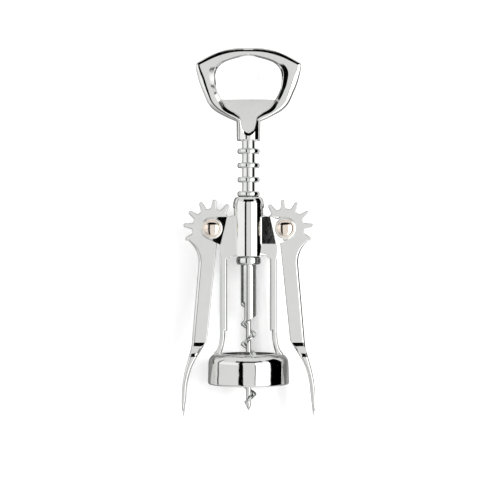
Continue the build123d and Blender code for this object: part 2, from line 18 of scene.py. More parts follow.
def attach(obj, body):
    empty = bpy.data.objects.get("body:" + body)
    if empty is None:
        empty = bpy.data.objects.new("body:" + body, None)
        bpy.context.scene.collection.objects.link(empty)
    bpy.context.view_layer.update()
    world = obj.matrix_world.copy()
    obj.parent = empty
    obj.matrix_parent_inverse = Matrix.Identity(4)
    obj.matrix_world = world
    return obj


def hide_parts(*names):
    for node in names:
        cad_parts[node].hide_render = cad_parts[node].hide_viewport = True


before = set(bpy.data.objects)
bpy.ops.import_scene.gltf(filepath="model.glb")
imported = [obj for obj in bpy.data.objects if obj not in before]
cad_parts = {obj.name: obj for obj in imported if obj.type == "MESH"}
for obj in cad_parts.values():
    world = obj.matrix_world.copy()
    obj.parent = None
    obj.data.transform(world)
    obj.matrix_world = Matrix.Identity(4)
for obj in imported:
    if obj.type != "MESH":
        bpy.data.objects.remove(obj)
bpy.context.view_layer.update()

LOG = logging.getLogger("wing_corkscrew")
MM = 0.001
QUARTER = math.pi / 2
WHITE = (1.0, 1.0, 1.0, 1.0)
Flat = tuple[float, float]
Corner = tuple[float, float, float]
Piece = bpy.types.Object
Material = bpy.types.Material
Socket = bpy.types.NodeSocket

# ---------------------------------------------------------------- sizes that several pieces share
PIVOT: Flat = (17.2395, 73.7)  # of the right lever, as (x, z)
LUG_FACE = 4.4  # from the middle plane to the face that a washer lies on
NECK_FOOT = 115.0  # where the handle's neck meets the shaft's shoulder
NECK_SEAT = 7.0  # how far the shaft goes up into the neck
SHANK_TOP = 56.5  # upper end of the worm
SHANK_SEAT = 14.0  # how far the shaft goes down into the worm
SPIGOT_RADIUS = 2.2  # of the shaft's two plain ends


class Side(IntEnum):
    """The two sides of the corkscrew; the value is the sign of x."""

    RIGHT = 1
    LEFT = -1


class Face(IntEnum):
    """The front and the back; the value is the sign of the distance in front of the middle plane."""

    FRONT = 1
    BACK = -1


class Join(Enum):
    """How a piece and a tool are combined."""

    UNION = "UNION"
    DIFFERENCE = "DIFFERENCE"
    INTERSECT = "INTERSECT"


class Easing(Enum):
    """How a mapped value runs between its two ends."""

    STEADY = "LINEAR"
    SMOOTH = "SMOOTHSTEP"


class Body(Enum):
    """The bodies that move apart."""

    FRAME = "frame"
    COLLAR = "collar"
    SPINDLE = "spindle"
    RIGHT_WING = "right_wing"
    LEFT_WING = "left_wing"


class Slot(Enum):
    """The record's material slots."""

    CASTINGS = "chromed_castings"
    STEEL = "plated_steel"
    RIVETS = "coppered_rivets"


# ---------------------------------------------------------------- finishes
class Nodes:
    """A node tree under construction, with short calls that add and join its nodes."""

    def __init__(self, tree: bpy.types.NodeTree) -> None:
        """Starts with an empty tree."""
        self.tree = tree
        tree.nodes.clear()

    def add(self, kind: str, inputs: dict | None = None, **settings: str | bool) -> bpy.types.Node:
        """Adds a node, sets its plain settings and fills its inputs.

        Args:
            kind: the node's type name.
            inputs: sockets to join or constants to set, by the input's name or place.
            settings: attributes of the node.

        Returns:
            The new node.
        """
        node = self.tree.nodes.new(kind)
        for name, value in settings.items():
            setattr(node, name, value)
        for name, value in (inputs or {}).items():
            self.feed(value, node.inputs[name])
        return node

    def feed(self, value: float | tuple | Socket, target: Socket) -> None:
        """Joins a socket to a target, or sets a constant on it.

        Args:
            value: the socket or the constant.
            target: the input that takes it.
        """
        if isinstance(value, Socket):
            self.tree.links.new(value, target)
        else:
            target.default_value = value

    def blend(self, share: Socket, first: Socket, second: Socket) -> Socket:
        """Mixes two shaders; a share of 1 is all of the second."""
        return self.add("ShaderNodeMixShader", {0: share, 1: first, 2: second}).outputs[0]

    def end(self, shader: Socket, kind: str = "ShaderNodeOutputMaterial") -> None:
        """Ends the tree with the shader of its surface."""
        self.add(kind, {"Surface": shader})


def start_material(name: str) -> tuple[Material, Nodes]:
    """Makes a material and empties its tree.

    Args:
        name: the material's name.

    Returns:
        The material, and its tree ready to be filled.
    """
    material = bpy.data.materials.new(name)
    material.use_nodes = True
    return material, Nodes(material.node_tree)


@dataclass(frozen=True)
class MetalFinish:
    """A metal surface: its colour with a slow drift, fine wear in its gloss, and a cast or turned grain."""

    name: str
    slot: Slot
    colour: Corner
    drift: Corner
    roughness: Flat
    ripple_size: float
    ripple_height: float
    grain_size: float
    grain_height: float
    grain_stretch: Corner = (1.0, 1.0, 1.0)
    ripple_detail: float = 2.0
    grain_detail: float = 3.0
    wear_span: Flat = (0.3, 0.7)

    def build(self) -> Material:
        """Builds the material.

        Returns:
            A node material that reads object coordinates only.
        """
        material, nodes = start_material(self.name)
        place = nodes.add("ShaderNodeTexCoord").outputs["Object"]
        stretch = nodes.add("ShaderNodeMapping", {"Scale": self.grain_stretch, "Vector": place})
        slow = self.noise(nodes, place, self.ripple_size, self.ripple_detail)
        fine = self.noise(nodes, stretch.outputs["Vector"], self.grain_size, self.grain_detail)
        colours = {"A": (*self.colour, 1.0), "B": (*self.drift, 1.0), "Factor": slow}
        tint = nodes.add("ShaderNodeMix", colours, data_type="RGBA")
        spans = dict(zip(("From Min", "From Max", "To Min", "To Max"), (*self.wear_span, *self.roughness)))
        gloss = nodes.add("ShaderNodeMapRange", {"Value": fine, **spans})
        wave = {"Strength": 1.0, "Distance": self.ripple_height, "Height": slow}
        ripple = nodes.add("ShaderNodeBump", wave)
        tooth = {"Strength": 1.0, "Distance": self.grain_height, "Height": fine}
        grain = nodes.add("ShaderNodeBump", {**tooth, "Normal": ripple.outputs["Normal"]})
        surface = {
            "Metallic": 1.0,
            "Base Color": tint.outputs["Result"],
            "Roughness": gloss.outputs["Result"],
            "Normal": grain.outputs["Normal"],
        }
        nodes.end(nodes.add("ShaderNodeBsdfPrincipled", surface).outputs["BSDF"])
        return material

    def noise(self, nodes: Nodes, place: Socket, size: float, detail: float) -> Socket:
        """A noise of a given size in metres, as the socket of its value."""
        noise = nodes.add("ShaderNodeTexNoise", {"Vector": place, "Scale": 1 / size, "Detail": detail})
        return noise.outputs["Fac"]


class Finish(Enum):
    """The finishes on this corkscrew."""

    CAST_CHROME = MetalFinish(
        name="cast_chrome",
        slot=Slot.CASTINGS,
        colour=(0.88, 0.88, 0.87),
        drift=(0.80, 0.81, 0.79),
        roughness=(0.05, 0.09),
        ripple_size=8 * MM,
        ripple_height=0.028 * MM,
        grain_size=0.7 * MM,
        grain_height=0.0012 * MM,
    )
    # Painted shade: a dark grey for the frame's walls that face the axis, standing for the shade and dark
    # reflections inside the frame's opening.
    CAST_INSIDE = MetalFinish(
        name="cast_inside",
        slot=Slot.CASTINGS,
        colour=(0.33, 0.33, 0.32),
        drift=(0.24, 0.24, 0.23),
        roughness=(0.18, 0.28),
        ripple_size=6 * MM,
        ripple_height=0.02 * MM,
        grain_size=0.6 * MM,
        grain_height=0.004 * MM,
    )
    TURNED_STEEL = MetalFinish(
        name="turned_steel",
        slot=Slot.STEEL,
        colour=(0.86, 0.86, 0.85),
        drift=(0.74, 0.76, 0.74),
        roughness=(0.05, 0.09),
        ripple_size=6 * MM,
        ripple_height=0.006 * MM,
        grain_size=0.6 * MM,
        grain_height=0.0008 * MM,
        grain_stretch=(0.3, 0.3, 3.0),
    )
    COPPERED_BRASS = MetalFinish(
        name="coppered_brass",
        slot=Slot.RIVETS,
        colour=(0.98, 0.88, 0.79),
        drift=(0.95, 0.82, 0.71),
        roughness=(0.07, 0.13),
        ripple_size=4 * MM,
        ripple_height=0.006 * MM,
        grain_size=0.4 * MM,
        grain_height=0.001 * MM,
    )
    PALE_NICKEL = MetalFinish(
        name="pale_nickel",
        slot=Slot.RIVETS,
        colour=(0.96, 0.93, 0.88),
        drift=(0.92, 0.88, 0.82),
        roughness=(0.08, 0.14),
        ripple_size=4 * MM,
        ripple_height=0.006 * MM,
        grain_size=0.4 * MM,
        grain_height=0.001 * MM,
    )


class Palette:
    """Builds each finish once and hands it out."""

    FACING = -0.3  # a wall faces the axis when its normal runs against the way out by this much

    def __init__(self) -> None:
        """Starts with no material built."""
        self.built: dict[Finish, Material] = {}

    def get(self, finish: Finish) -> Material:
        """The material of a finish, built at its first use.

        Args:
            finish: which finish.

        Returns:
            Its material.
        """
        if finish not in self.built:
            self.built[finish] = finish.value.build()
        return self.built[finish]

    def dress(self, piece: Piece, finish: Finish) -> None:
        """Gives a piece one finish all over."""
        piece.data.materials.clear()
        piece.data.materials.append(self.get(finish))

    def line(self, piece: Piece, finish: Finish, radius: float) -> None:
        """Paints shade on a piece's walls that face the upright axis, by giving them another, darker finish.

        Args:
            piece: the piece, already dressed.
            finish: the dark finish that stands for the painted shade.
            radius: walls nearer the axis than this, in millimetres, stay as they are.
        """
        piece.data.materials.append(self.get(finish))
        # Painted shade: walls facing the axis, out past the radius, take the dark finish.
        for face in piece.data.polygons:
            place = face.center.xy / MM
            if place.length > radius and face.normal.xy.dot(place.normalized()) < self.FACING:
                face.material_index = 1


# ---------------------------------------------------------------- studio
@dataclass(frozen=True)
class Card:
    """A curved studio card seen only in reflections, as a patch of a ball round the object.

    Azimuth is measured in degrees from the camera's side towards the right, elevation up from level.
    """

    name: str
    azimuth: Flat
    elevation: Flat
    brightness: float


@dataclass(frozen=True)
class Lamp:
    """An area lamp that faces the object and isn't seen in reflections.

    Its offset from the aim point and its edge length are in metres, and its power in watts.
    """

    name: str
    offset: Corner
    size: float
    power: float


@dataclass
class Studio:
    """Floor, backdrop, lamps, reflection cards and the camera."""

    aim: Vector = field(default_factory=lambda: Vector((0.7, 0.0, 63.5)) * MM)
    camera_distance: float = 790 * MM
    view_width: float = 236.8 * MM
    sensor: float = 36.0
    floor_height: float = -15.9 * MM
    floor_half: float = 2.0
    backdrop_depth: float = 20.5 * MM
    backdrop_half: float = 0.25
    backdrop_top: float = 0.26
    backdrop_gap: float = 0.5 * MM
    card_radius: float = 700 * MM
    card_step: float = 5.0
    surround: float = 0.80
    pale: float = 0.80
    floor_lift: float = 0.40
    backdrop_lift: float = 0.22
    cards: tuple[Card, ...] = (
        Card("card_left_strip", (-28, -15), (-60, 42), 0.0),
        Card("card_top_bar", (-42, 45), (25, 42), 0.0),
        Card("card_camera_side", (-14.9, 17), (-14, 24.9), 0.80),
        Card("card_thin_strip", (18, 20), (-40, 24.9), 0.05),
        Card("card_key", (21, 63), (-50, 24.9), 1.9),
        Card("card_right_panel", (65, 110), (-55, 45), 0.0),
        Card("card_rear_right", (140, 178), (-50, 40), 0.34),
        Card("card_rear_left", (-178, -124), (-50, 40), 0.22),
        Card("card_left_line", (-99, -93), (-45, 40), 0.1),
        Card("card_left_glow", (-92, -30), (-1.5, 24), 1.02),
        Card("card_low_left", (-120, -30), (-62, -25), 0.5),
    )
    lamps: tuple[Lamp, ...] = (
        Lamp("key_lamp", (0.47, -0.62, 0.10), 0.36, 9.0),
        Lamp("fill_lamp", (-0.6, -0.7, 0.3), 0.8, 3.0),
    )

    def build(self) -> None:
        """Builds the whole studio round the object."""
        self.set_world()
        self.add_plane("studio_floor", self.floor_corners(), self.floor_lift)
        self.add_plane("studio_backdrop", self.backdrop_corners(), self.backdrop_lift)
        for card in self.cards:
            self.add_card(card)
        for lamp in self.lamps:
            self.add_lamp(lamp)
        self.add_camera()
        bpy.context.scene.view_settings.view_transform = "Standard"

    def set_world(self) -> None:
        """A white world to the camera, and a plain pale one to everything else."""
        world = bpy.data.worlds.new("studio_world")
        world.use_nodes = True
        bpy.context.scene.world = world
        nodes = Nodes(world.node_tree)
        shades = []
        for strength in (self.surround, 1.0):
            sky = nodes.add("ShaderNodeBackground", {"Color": WHITE, "Strength": strength})
            shades.append(sky.outputs[0])
        camera = nodes.add("ShaderNodeLightPath").outputs["Is Camera Ray"]
        nodes.end(nodes.blend(camera, *shades), "ShaderNodeOutputWorld")

    def floor_corners(self) -> list[Corner]:
        """The floor's corners, just below the paddles' tips."""
        half, z = self.floor_half, self.floor_height
        return [(-half, -half, z), (half, -half, z), (half, half, z), (-half, half, z)]

    def backdrop_corners(self) -> list[Corner]:
        """Places the backdrop, an upright sheet close behind the object, facing the camera.

        Returns:
            Its corners.
        """
        half, y = self.backdrop_half, self.backdrop_depth
        low, high = self.floor_height + self.backdrop_gap, self.backdrop_top
        return [(-half, y, low), (half, y, low), (half, y, high), (-half, y, high)]

    def add_plane(self, name: str, corners: list[Corner], lift: float) -> None:
        """Adds a pale one-sided sheet that keeps the object's shadow and is white to the camera.

        Args:
            name: the sheet's name.
            corners: its corners, counter-clockwise seen from its face.
            lift: the light that the sheet gives off towards the camera alone.
        """
        material, nodes = start_material(name)
        paint = nodes.add("ShaderNodeBsdfDiffuse", {"Color": (self.pale, self.pale, self.pale, 1.0)})
        camera = nodes.add("ShaderNodeLightPath").outputs["Is Camera Ray"]
        glow = nodes.add("ShaderNodeEmission", {"Color": camera, "Strength": lift})
        both = nodes.add("ShaderNodeAddShader", {0: paint.outputs[0], 1: glow.outputs[0]})
        behind = nodes.add("ShaderNodeNewGeometry").outputs["Backfacing"]
        clear = nodes.add("ShaderNodeBsdfTransparent").outputs[0]
        nodes.end(nodes.blend(behind, both.outputs[0], clear))
        sheet = plain_mesh(name, corners, [(0, 1, 2, 3)])
        sheet.data.materials.append(material)
        sheet.visible_glossy = False

    def add_card(self, card: Card) -> None:
        """Adds one reflection card.

        Args:
            card: where it is and how bright.
        """
        (left, right), (low, high) = card.azimuth, card.elevation
        columns = max(2, round((right - left) / self.card_step))
        rows = max(2, round((high - low) / self.card_step))
        corners = []
        for row in range(rows + 1):
            tilt = math.radians(low + (high - low) * row / rows)
            for column in range(columns + 1):
                turn = math.radians(left + (right - left) * column / columns)
                ray = (math.sin(turn) * math.cos(tilt), -math.cos(turn) * math.cos(tilt), math.sin(tilt))
                corners.append(self.aim + Vector(ray) * self.card_radius)
        faces = []
        for row in range(rows):
            for first in range(row * (columns + 1), row * (columns + 1) + columns):
                faces.append((first, first + columns + 1, first + columns + 2, first + 1))
        panel = plain_mesh(card.name, corners, faces)
        material, nodes = start_material(card.name)
        nodes.end(nodes.add("ShaderNodeEmission", {"Strength": card.brightness}).outputs[0])
        panel.data.materials.append(material)
        panel.visible_camera = False
        panel.visible_diffuse = False
        panel.visible_shadow = False
        panel.visible_transmission = False

    def add_lamp(self, lamp: Lamp) -> None:
        """Adds one lamp.

        Args:
            lamp: where it is, how large and how strong.
        """
        light = bpy.data.lights.new(lamp.name, "AREA")
        light.size = lamp.size
        light.energy = lamp.power
        source = bpy.data.objects.new(lamp.name, light)
        offset = Vector(lamp.offset)
        source.location = self.aim + offset
        source.rotation_euler = (-offset).to_track_quat("-Z", "Y").to_euler()
        source.visible_glossy = False
        bpy.context.scene.collection.objects.link(source)

    def add_camera(self) -> None:
        """The camera, level and straight in front."""
        data = bpy.data.cameras.new("camera")
        data.sensor_width = self.sensor
        data.lens = self.sensor * self.camera_distance / self.view_width
        camera = bpy.data.objects.new("camera", data)
        camera.location = self.aim - Vector((0, self.camera_distance, 0))
        camera.rotation_euler = (QUARTER, 0, 0)
        bpy.context.scene.collection.objects.link(camera)
        bpy.context.scene.camera = camera


# ---------------------------------------------------------------- mesh tools
CORNER_STEPS = 7  # steps round a section's corner
EDGE_TURN = 15  # degrees between the layers of a rounded edge
SHARP_INSET = 0.4  # least share of an inset that a sharp corner's offset is reckoned with
SAME_PLACE = 0.0005 * MM
SLIVER = 0.0002 * MM
FACE_WEIGHT = 80  # how strongly large faces pull the normals


def link_mesh(name: str, mesh: bpy.types.Mesh) -> Piece:
    """Makes an object of a mesh and puts it in the scene.

    Args:
        name: the object's name.
        mesh: its mesh.

    Returns:
        The object.
    """
    piece = bpy.data.objects.new(name, mesh)
    bpy.context.scene.collection.objects.link(piece)
    return piece


def plain_mesh(name: str, corners: list[Corner], faces: list[tuple[int, ...]]) -> Piece:
    """Makes an object of corners and faces.

    Args:
        name: the object's name.
        corners: places in metres.
        faces: the corners of each face.

    Returns:
        The object.
    """
    mesh = bpy.data.meshes.new(name)
    mesh.from_pydata(corners, [], faces)
    return link_mesh(name, mesh)


def rounded_path(corners: tuple[Corner, ...], arc_steps: int, line_steps: int) -> list[Flat]:
    """Walks an open path of straight runs whose corners are rounded.

    Args:
        corners: places and their rounding radii; the first and last aren't rounded.
        arc_steps: steps along each rounded corner.
        line_steps: steps along each straight run.

    Returns:
        The points of the path. Paths with as many corners have as many points.
    """
    points: list[Flat] = []
    start = Vector(corners[0][:2])
    for place in range(1, len(corners)):
        corner = Vector(corners[place][:2])
        radius = corners[place][2] if place < len(corners) - 1 else 0.0
        into = (corner - Vector(corners[place - 1][:2])).normalized()
        arc_start = corner
        if radius > 0:
            away = (Vector(corners[place + 1][:2]) - corner).normalized()
            turn = into.angle_signed(away)
            reach = radius * math.tan(abs(turn) / 2)
            arc_start = corner - into * reach
        for step in range(line_steps):
            points.append(tuple(start.lerp(arc_start, step / line_steps)))
        if radius > 0:
            side = Vector((-into.y, into.x)) * (-1 if turn > 0 else 1)
            centre = arc_start + side * radius
            for step in range(arc_steps):
                angle = -turn * step / arc_steps
                points.append(tuple(centre + Matrix.Rotation(angle, 2) @ (arc_start - centre)))
            start = corner + away * reach
    points.append(tuple(Vector(corners[-1][:2])))
    return points


def smooth_loop(points: list[tuple[float, ...]], steps: int) -> list[tuple[float, ...]]:
    """A closed smooth curve through points of two or three measures.

    Args:
        points: the points it passes, in order.
        steps: steps between each two of them.

    Returns:
        The points of the curve.
    """
    loop: list[tuple[float, ...]] = []
    count = len(points)
    for place in range(count):
        before, start, end, after = (Vector(points[(place + shift) % count]) for shift in (-1, 0, 1, 2))
        for step in range(steps):
            t = step / steps
            curve = 2 * start + (end - before) * t
            curve += (2 * before - 5 * start + 4 * end - after) * t**2
            curve += (3 * start - before - 3 * end + after) * t**3
            loop.append(tuple(curve / 2))
    return loop


def both_sides(half: tuple[tuple[float, ...], ...]) -> list[tuple[float, ...]]:
    """Closes a half outline, drawn from the middle line out and back to it, with its mirror image."""
    return [*half, *((-point[0], *point[1:]) for point in reversed(half[1:-1]))]


def skin(name: str, layers: list[list[Corner]]) -> Piece:
    """A closed mesh through layers of as many points each, with both ends filled.

    Args:
        name: the object's name.
        layers: closed rings of points, in millimetres.

    Returns:
        The object, in metres, its faces pointing outwards.
    """
    form = bmesh.new()
    rings = [[form.verts.new(Vector(point) * MM) for point in layer] for layer in layers]
    count = len(layers[0])
    for low, high in zip(rings, rings[1:]):
        for place in range(count):
            after = (place + 1) % count
            form.faces.new((low[place], low[after], high[after], high[place]))
    form.faces.new(rings[0])
    form.faces.new(rings[-1])
    return finish_form(name, form)


def turned(name: str, profile: list[Flat], steps: int = 72) -> Piece:
    """A closed turned shape.

    Args:
        name: the object's name.
        profile: closed half-section as (radius, height) in millimetres.
        steps: steps round the axis.

    Returns:
        The object.
    """
    form = bmesh.new()
    rings = []
    for step in range(steps):
        angle = 2 * math.pi * step / steps
        places = [Vector((r * math.cos(angle), r * math.sin(angle), z)) for r, z in profile]
        rings.append([form.verts.new(place * MM) for place in places])
    count = len(profile)
    for step in range(steps):
        here, there = rings[step], rings[(step + 1) % steps]
        for place in range(count):
            after = (place + 1) % count
            if profile[place][0] > 0 or profile[after][0] > 0:
                form.faces.new((here[place], there[place], there[after], here[after]))
    return finish_form(name, form)


def turned_across(name: str, place: Flat, profile: list[Flat], steps: int = 80) -> Piece:
    """A closed turned shape whose axis runs from front to back.

    Args:
        name: the object's name.
        place: where the axis is, as (x, z) in millimetres.
        profile: closed half-section as (radius, distance in front of the middle) in millimetres.
        steps: steps round the axis.

    Returns:
        The object.
    """
    piece = turned(name, profile, steps)
    move = Matrix.Translation(Vector((place[0], 0, place[1])) * MM)
    piece.data.transform(move @ Matrix.Rotation(QUARTER, 4, "X"))
    return piece


def rod(radius: float, low: float, high: float) -> list[Flat]:
    """The half-section of a plain round rod between two heights."""
    return [(0, low), (radius, low), (radius, high), (0, high)]


def arc(centre: Flat, radius: float, start: float, end: float, steps: int) -> list[Flat]:
    """Points along an arc between two angles in radians, both ends included."""
    angles = [start + (end - start) * step / steps for step in range(steps + 1)]
    return [(centre[0] + radius * math.cos(a), centre[1] + radius * math.sin(a)) for a in angles]


def inset(outline: list[Flat], distance: float) -> list[Flat]:
    """Moves each side of an outline inwards.

    Args:
        outline: its corners, counter-clockwise.
        distance: how far its sides move.

    Returns:
        As many corners.
    """
    moved = []
    count = len(outline)
    for place in range(count):
        before, here, after = (Vector(outline[(place + shift) % count]) for shift in (-1, 0, 1))
        entry, leave = (here - before).normalized(), (after - here).normalized()
        inward = Vector((-entry.y - leave.y, entry.x + leave.x)).normalized()
        reach = distance / max(SHARP_INSET, inward.dot(Vector((-entry.y, entry.x))))
        moved.append(tuple(here + inward * reach))
    return moved


def slab(name: str, outline: list[Flat], half_depth: float, edge_round: float) -> Piece:
    """A plate with rounded edges.

    Args:
        name: the object's name.
        outline: its outline in the X-Z plane, counter-clockwise.
        half_depth: from its middle to its face.
        edge_round: rounding of its edges.

    Returns:
        The object.
    """
    layers = []
    for face in (1, -1):
        for turn in range(0, 91, EDGE_TURN)[::face]:
            angle = math.radians(90 - turn)
            edge = inset(outline, edge_round * (1 - math.cos(angle)))
            depth = face * (half_depth - edge_round * (1 - math.sin(angle)))
            layers.append([(x, depth, z) for x, z in edge])
    return skin(name, layers)


def rounded_section(sides: Flat, half_depth: float, rounds: Flat) -> list[Flat]:
    """A level section with rounded corners.

    Args:
        sides: its inner and outer x.
        half_depth: from its middle to its front.
        rounds: rounding of its inner and of its outer corners.

    Returns:
        Its points as (x, y), with as many for every section.
    """
    (inner, outer), (hollow, flank) = sides, rounds
    centres = (
        ((outer - flank, half_depth - flank), flank),
        ((inner + hollow, half_depth - hollow), hollow),
        ((inner + hollow, hollow - half_depth), hollow),
        ((outer - flank, flank - half_depth), flank),
    )
    section = []
    for turn, (centre, radius) in enumerate(centres):
        section += arc(centre, radius, turn * QUARTER, (turn + 1) * QUARTER, CORNER_STEPS)
    return section


def along(table: tuple[Flat, ...], height: float) -> float:
    """Reads a value from a table.

    Args:
        table: pairs of (height, value) that run downwards.
        height: where it is read.

    Returns:
        The value between its neighbours; the last one below the table.
    """
    for (high, upper), (low, lower) in zip(table, table[1:]):
        if height >= low:
            return lower + (upper - lower) * min(1.0, (height - low) / (high - low))
    return table[-1][1]


def across(path: list[Flat], height: float) -> float:
    """Finds where a path crosses a height.

    Args:
        path: its points, running downwards.
        height: the height.

    Returns:
        The x there, or at the nearer end.
    """
    for (right, high), (left, low) in zip(path, path[1:]):
        if high >= height >= low and high > low:
            return right + (left - right) * (high - height) / (high - low)
    return path[0][0] if height > path[0][1] else path[-1][0]


def finish_form(name: str, form: bmesh.types.BMesh) -> Piece:
    """Cleans a form and links it as an object.

    Args:
        name: the object's name.
        form: the form, which is freed.

    Returns:
        The object.
    """
    clean_form(form)
    mesh = bpy.data.meshes.new(name)
    form.to_mesh(mesh)
    form.free()
    return link_mesh(name, mesh)


def clean_form(form: bmesh.types.BMesh) -> None:
    """Merges doubles and turns the faces outwards.

    Args:
        form: the form, which is changed.
    """
    bmesh.ops.remove_doubles(form, verts=form.verts, dist=SAME_PLACE)
    bmesh.ops.dissolve_degenerate(form, edges=form.edges, dist=SLIVER)
    bmesh.ops.recalc_face_normals(form, faces=form.faces)


def finish_mesh(piece: Piece) -> Piece:
    """Cleans a piece's mesh in the same way.

    Args:
        piece: the piece.

    Returns:
        The same piece.
    """
    form = bmesh.new()
    form.from_mesh(piece.data)
    clean_form(form)
    form.to_mesh(piece.data)
    form.free()
    return piece


def settle(piece: Piece) -> Piece:
    """Turns a piece's live modifiers into plain mesh.

    Args:
        piece: the piece.

    Returns:
        The same piece, without modifiers.
    """
    bpy.context.view_layer.update()
    solid = piece.evaluated_get(bpy.context.evaluated_depsgraph_get())
    mesh = bpy.data.meshes.new_from_object(solid)
    old = piece.data
    piece.modifiers.clear()
    piece.data = mesh
    bpy.data.meshes.remove(old)
    mesh.name = piece.name
    return piece


def combine(piece: Piece, tool: Piece, join: Join) -> Piece:
    """Unites a piece with a tool, or cuts it, and removes the tool.

    Args:
        piece: what is kept.
        tool: the other solid.
        join: how they are combined.

    Returns:
        The piece.
    """
    change = piece.modifiers.new("combine", "BOOLEAN")
    change.operation = join.value
    change.solver = "EXACT"
    change.object = tool
    settle(piece)
    bpy.data.objects.remove(tool)
    return piece


def shade(piece: Piece, angle: float) -> None:
    """Smooth shading that keeps large faces flat.

    Args:
        piece: the piece.
        angle: edges sharper than this, in degrees, stay sharp.
    """
    piece.data.shade_smooth()
    piece.data.set_sharp_from_angle(angle=math.radians(angle))
    flatten = piece.modifiers.new("flatten", "WEIGHTED_NORMAL")
    flatten.mode = "FACE_AREA"
    flatten.weight = FACE_WEIGHT
    flatten.keep_sharp = True
    settle(piece)


def round_normals(piece: Piece, radius: float, near: float = 0.05, facing: float = 0.9) -> None:
    """Makes the shading of an upright round wall truly round.

    Args:
        piece: the piece, its wall centred on the upright axis.
        radius: the wall's radius in millimetres.
        near: how far a corner may lie off that radius.
        facing: how straight outwards a face has to look.
    """
    mesh = piece.data
    normals = [Vector(corner.vector) for corner in mesh.corner_normals]
    for face in mesh.polygons:
        for loop in face.loop_indices:
            place = mesh.vertices[mesh.loops[loop].vertex_index].co.xy / MM
            if abs(place.length - radius) < near and face.normal.xy.dot(place.normalized()) > facing:
                normals[loop] = place.normalized().to_3d()
    mesh.normals_split_custom_set(normals)


# ---------------------------------------------------------------- node recipes
class Recipe(Nodes):
    """A Geometry Nodes tree under construction, with named inputs that hold its sizes."""

    KINDS = {
        int: "NodeSocketInt",
        float: "NodeSocketFloat",
        Piece: "NodeSocketObject",
        Material: "NodeSocketMaterial",
    }

    def __init__(self, name: str) -> None:
        """Starts a tree with a geometry input and output.

        Args:
            name: the tree's name.
        """
        super().__init__(bpy.data.node_groups.new(name, "GeometryNodeTree"))
        for way in ("INPUT", "OUTPUT"):
            self.tree.interface.new_socket("Geometry", in_out=way, socket_type="NodeSocketGeometry")
        self.values: dict[str, float | int | Piece | Material] = {}
        self.source = self.add("NodeGroupInput")

    def given(self, name: str, value: float | Piece | Material) -> Socket:
        """Adds a named input.

        Args:
            name: what it is called.
            value: a length in metres, a number, a count, an object or a material.

        Returns:
            The socket that carries it.
        """
        entry = self.tree.interface.new_socket(name, in_out="INPUT", socket_type=self.KINDS[type(value)])
        self.values[entry.identifier] = value
        return self.source.outputs[name]

    def math(self, operation: str, *terms: float | Socket) -> Socket:
        """One step of arithmetic on sockets or constants."""
        return self.add("ShaderNodeMath", dict(enumerate(terms)), operation=operation).outputs[0]

    def ranged(self, value: Socket, span: tuple, result: tuple, easing: Easing = Easing.STEADY) -> Socket:
        """Maps a value from one span to another, and holds it at the ends.

        Args:
            value: what is mapped.
            span: its two ends.
            result: what they become.
            easing: how it runs between them.

        Returns:
            The mapped value.
        """
        ends = dict(zip(("From Min", "From Max", "To Min", "To Max"), (*span, *result)))
        way = easing.value
        node = self.add("ShaderNodeMapRange", {"Value": value, **ends}, interpolation_type=way, clamp=True)
        return node.outputs["Result"]

    def vector(self, *parts: float | Socket) -> Socket:
        """Combines up to three values into a vector."""
        return self.add("ShaderNodeCombineXYZ", dict(enumerate(parts))).outputs[0]

    def spread(self, count: Socket, shape: Socket, line: dict, **placing: Socket) -> Socket:
        """Repeats a shape on the points of a line.

        Args:
            count: how many.
            shape: what is repeated.
            line: inputs of the line, by name.
            placing: inputs of the copies, by name.

        Returns:
            The copies' socket.
        """
        points = self.add("GeometryNodeMeshLine", {"Count": count, **line}).outputs[0]
        inputs = {"Points": points, "Instance": shape, **placing}
        return self.add("GeometryNodeInstanceOnPoints", inputs).outputs[0]

    def make(self, name: str, geometry: Socket, material: Material) -> Piece:
        """Ends the tree, runs it once and turns it into plain mesh.

        Args:
            name: the piece's name.
            geometry: what the tree makes.
            material: its finish.

        Returns:
            The piece, without its modifier.
        """
        paint = self.given("Finish", material)
        real = self.add("GeometryNodeRealizeInstances", {0: geometry}).outputs[0]
        coat = self.add("GeometryNodeSetMaterial", {"Geometry": real, "Material": paint})
        self.add("NodeGroupOutput", {0: coat.outputs[0]})
        piece = link_mesh(name, bpy.data.meshes.new(name))
        change = piece.modifiers.new(name, "NODES")
        change.node_group = self.tree
        for identifier, value in self.values.items():
            change[identifier] = value
        return settle(piece)


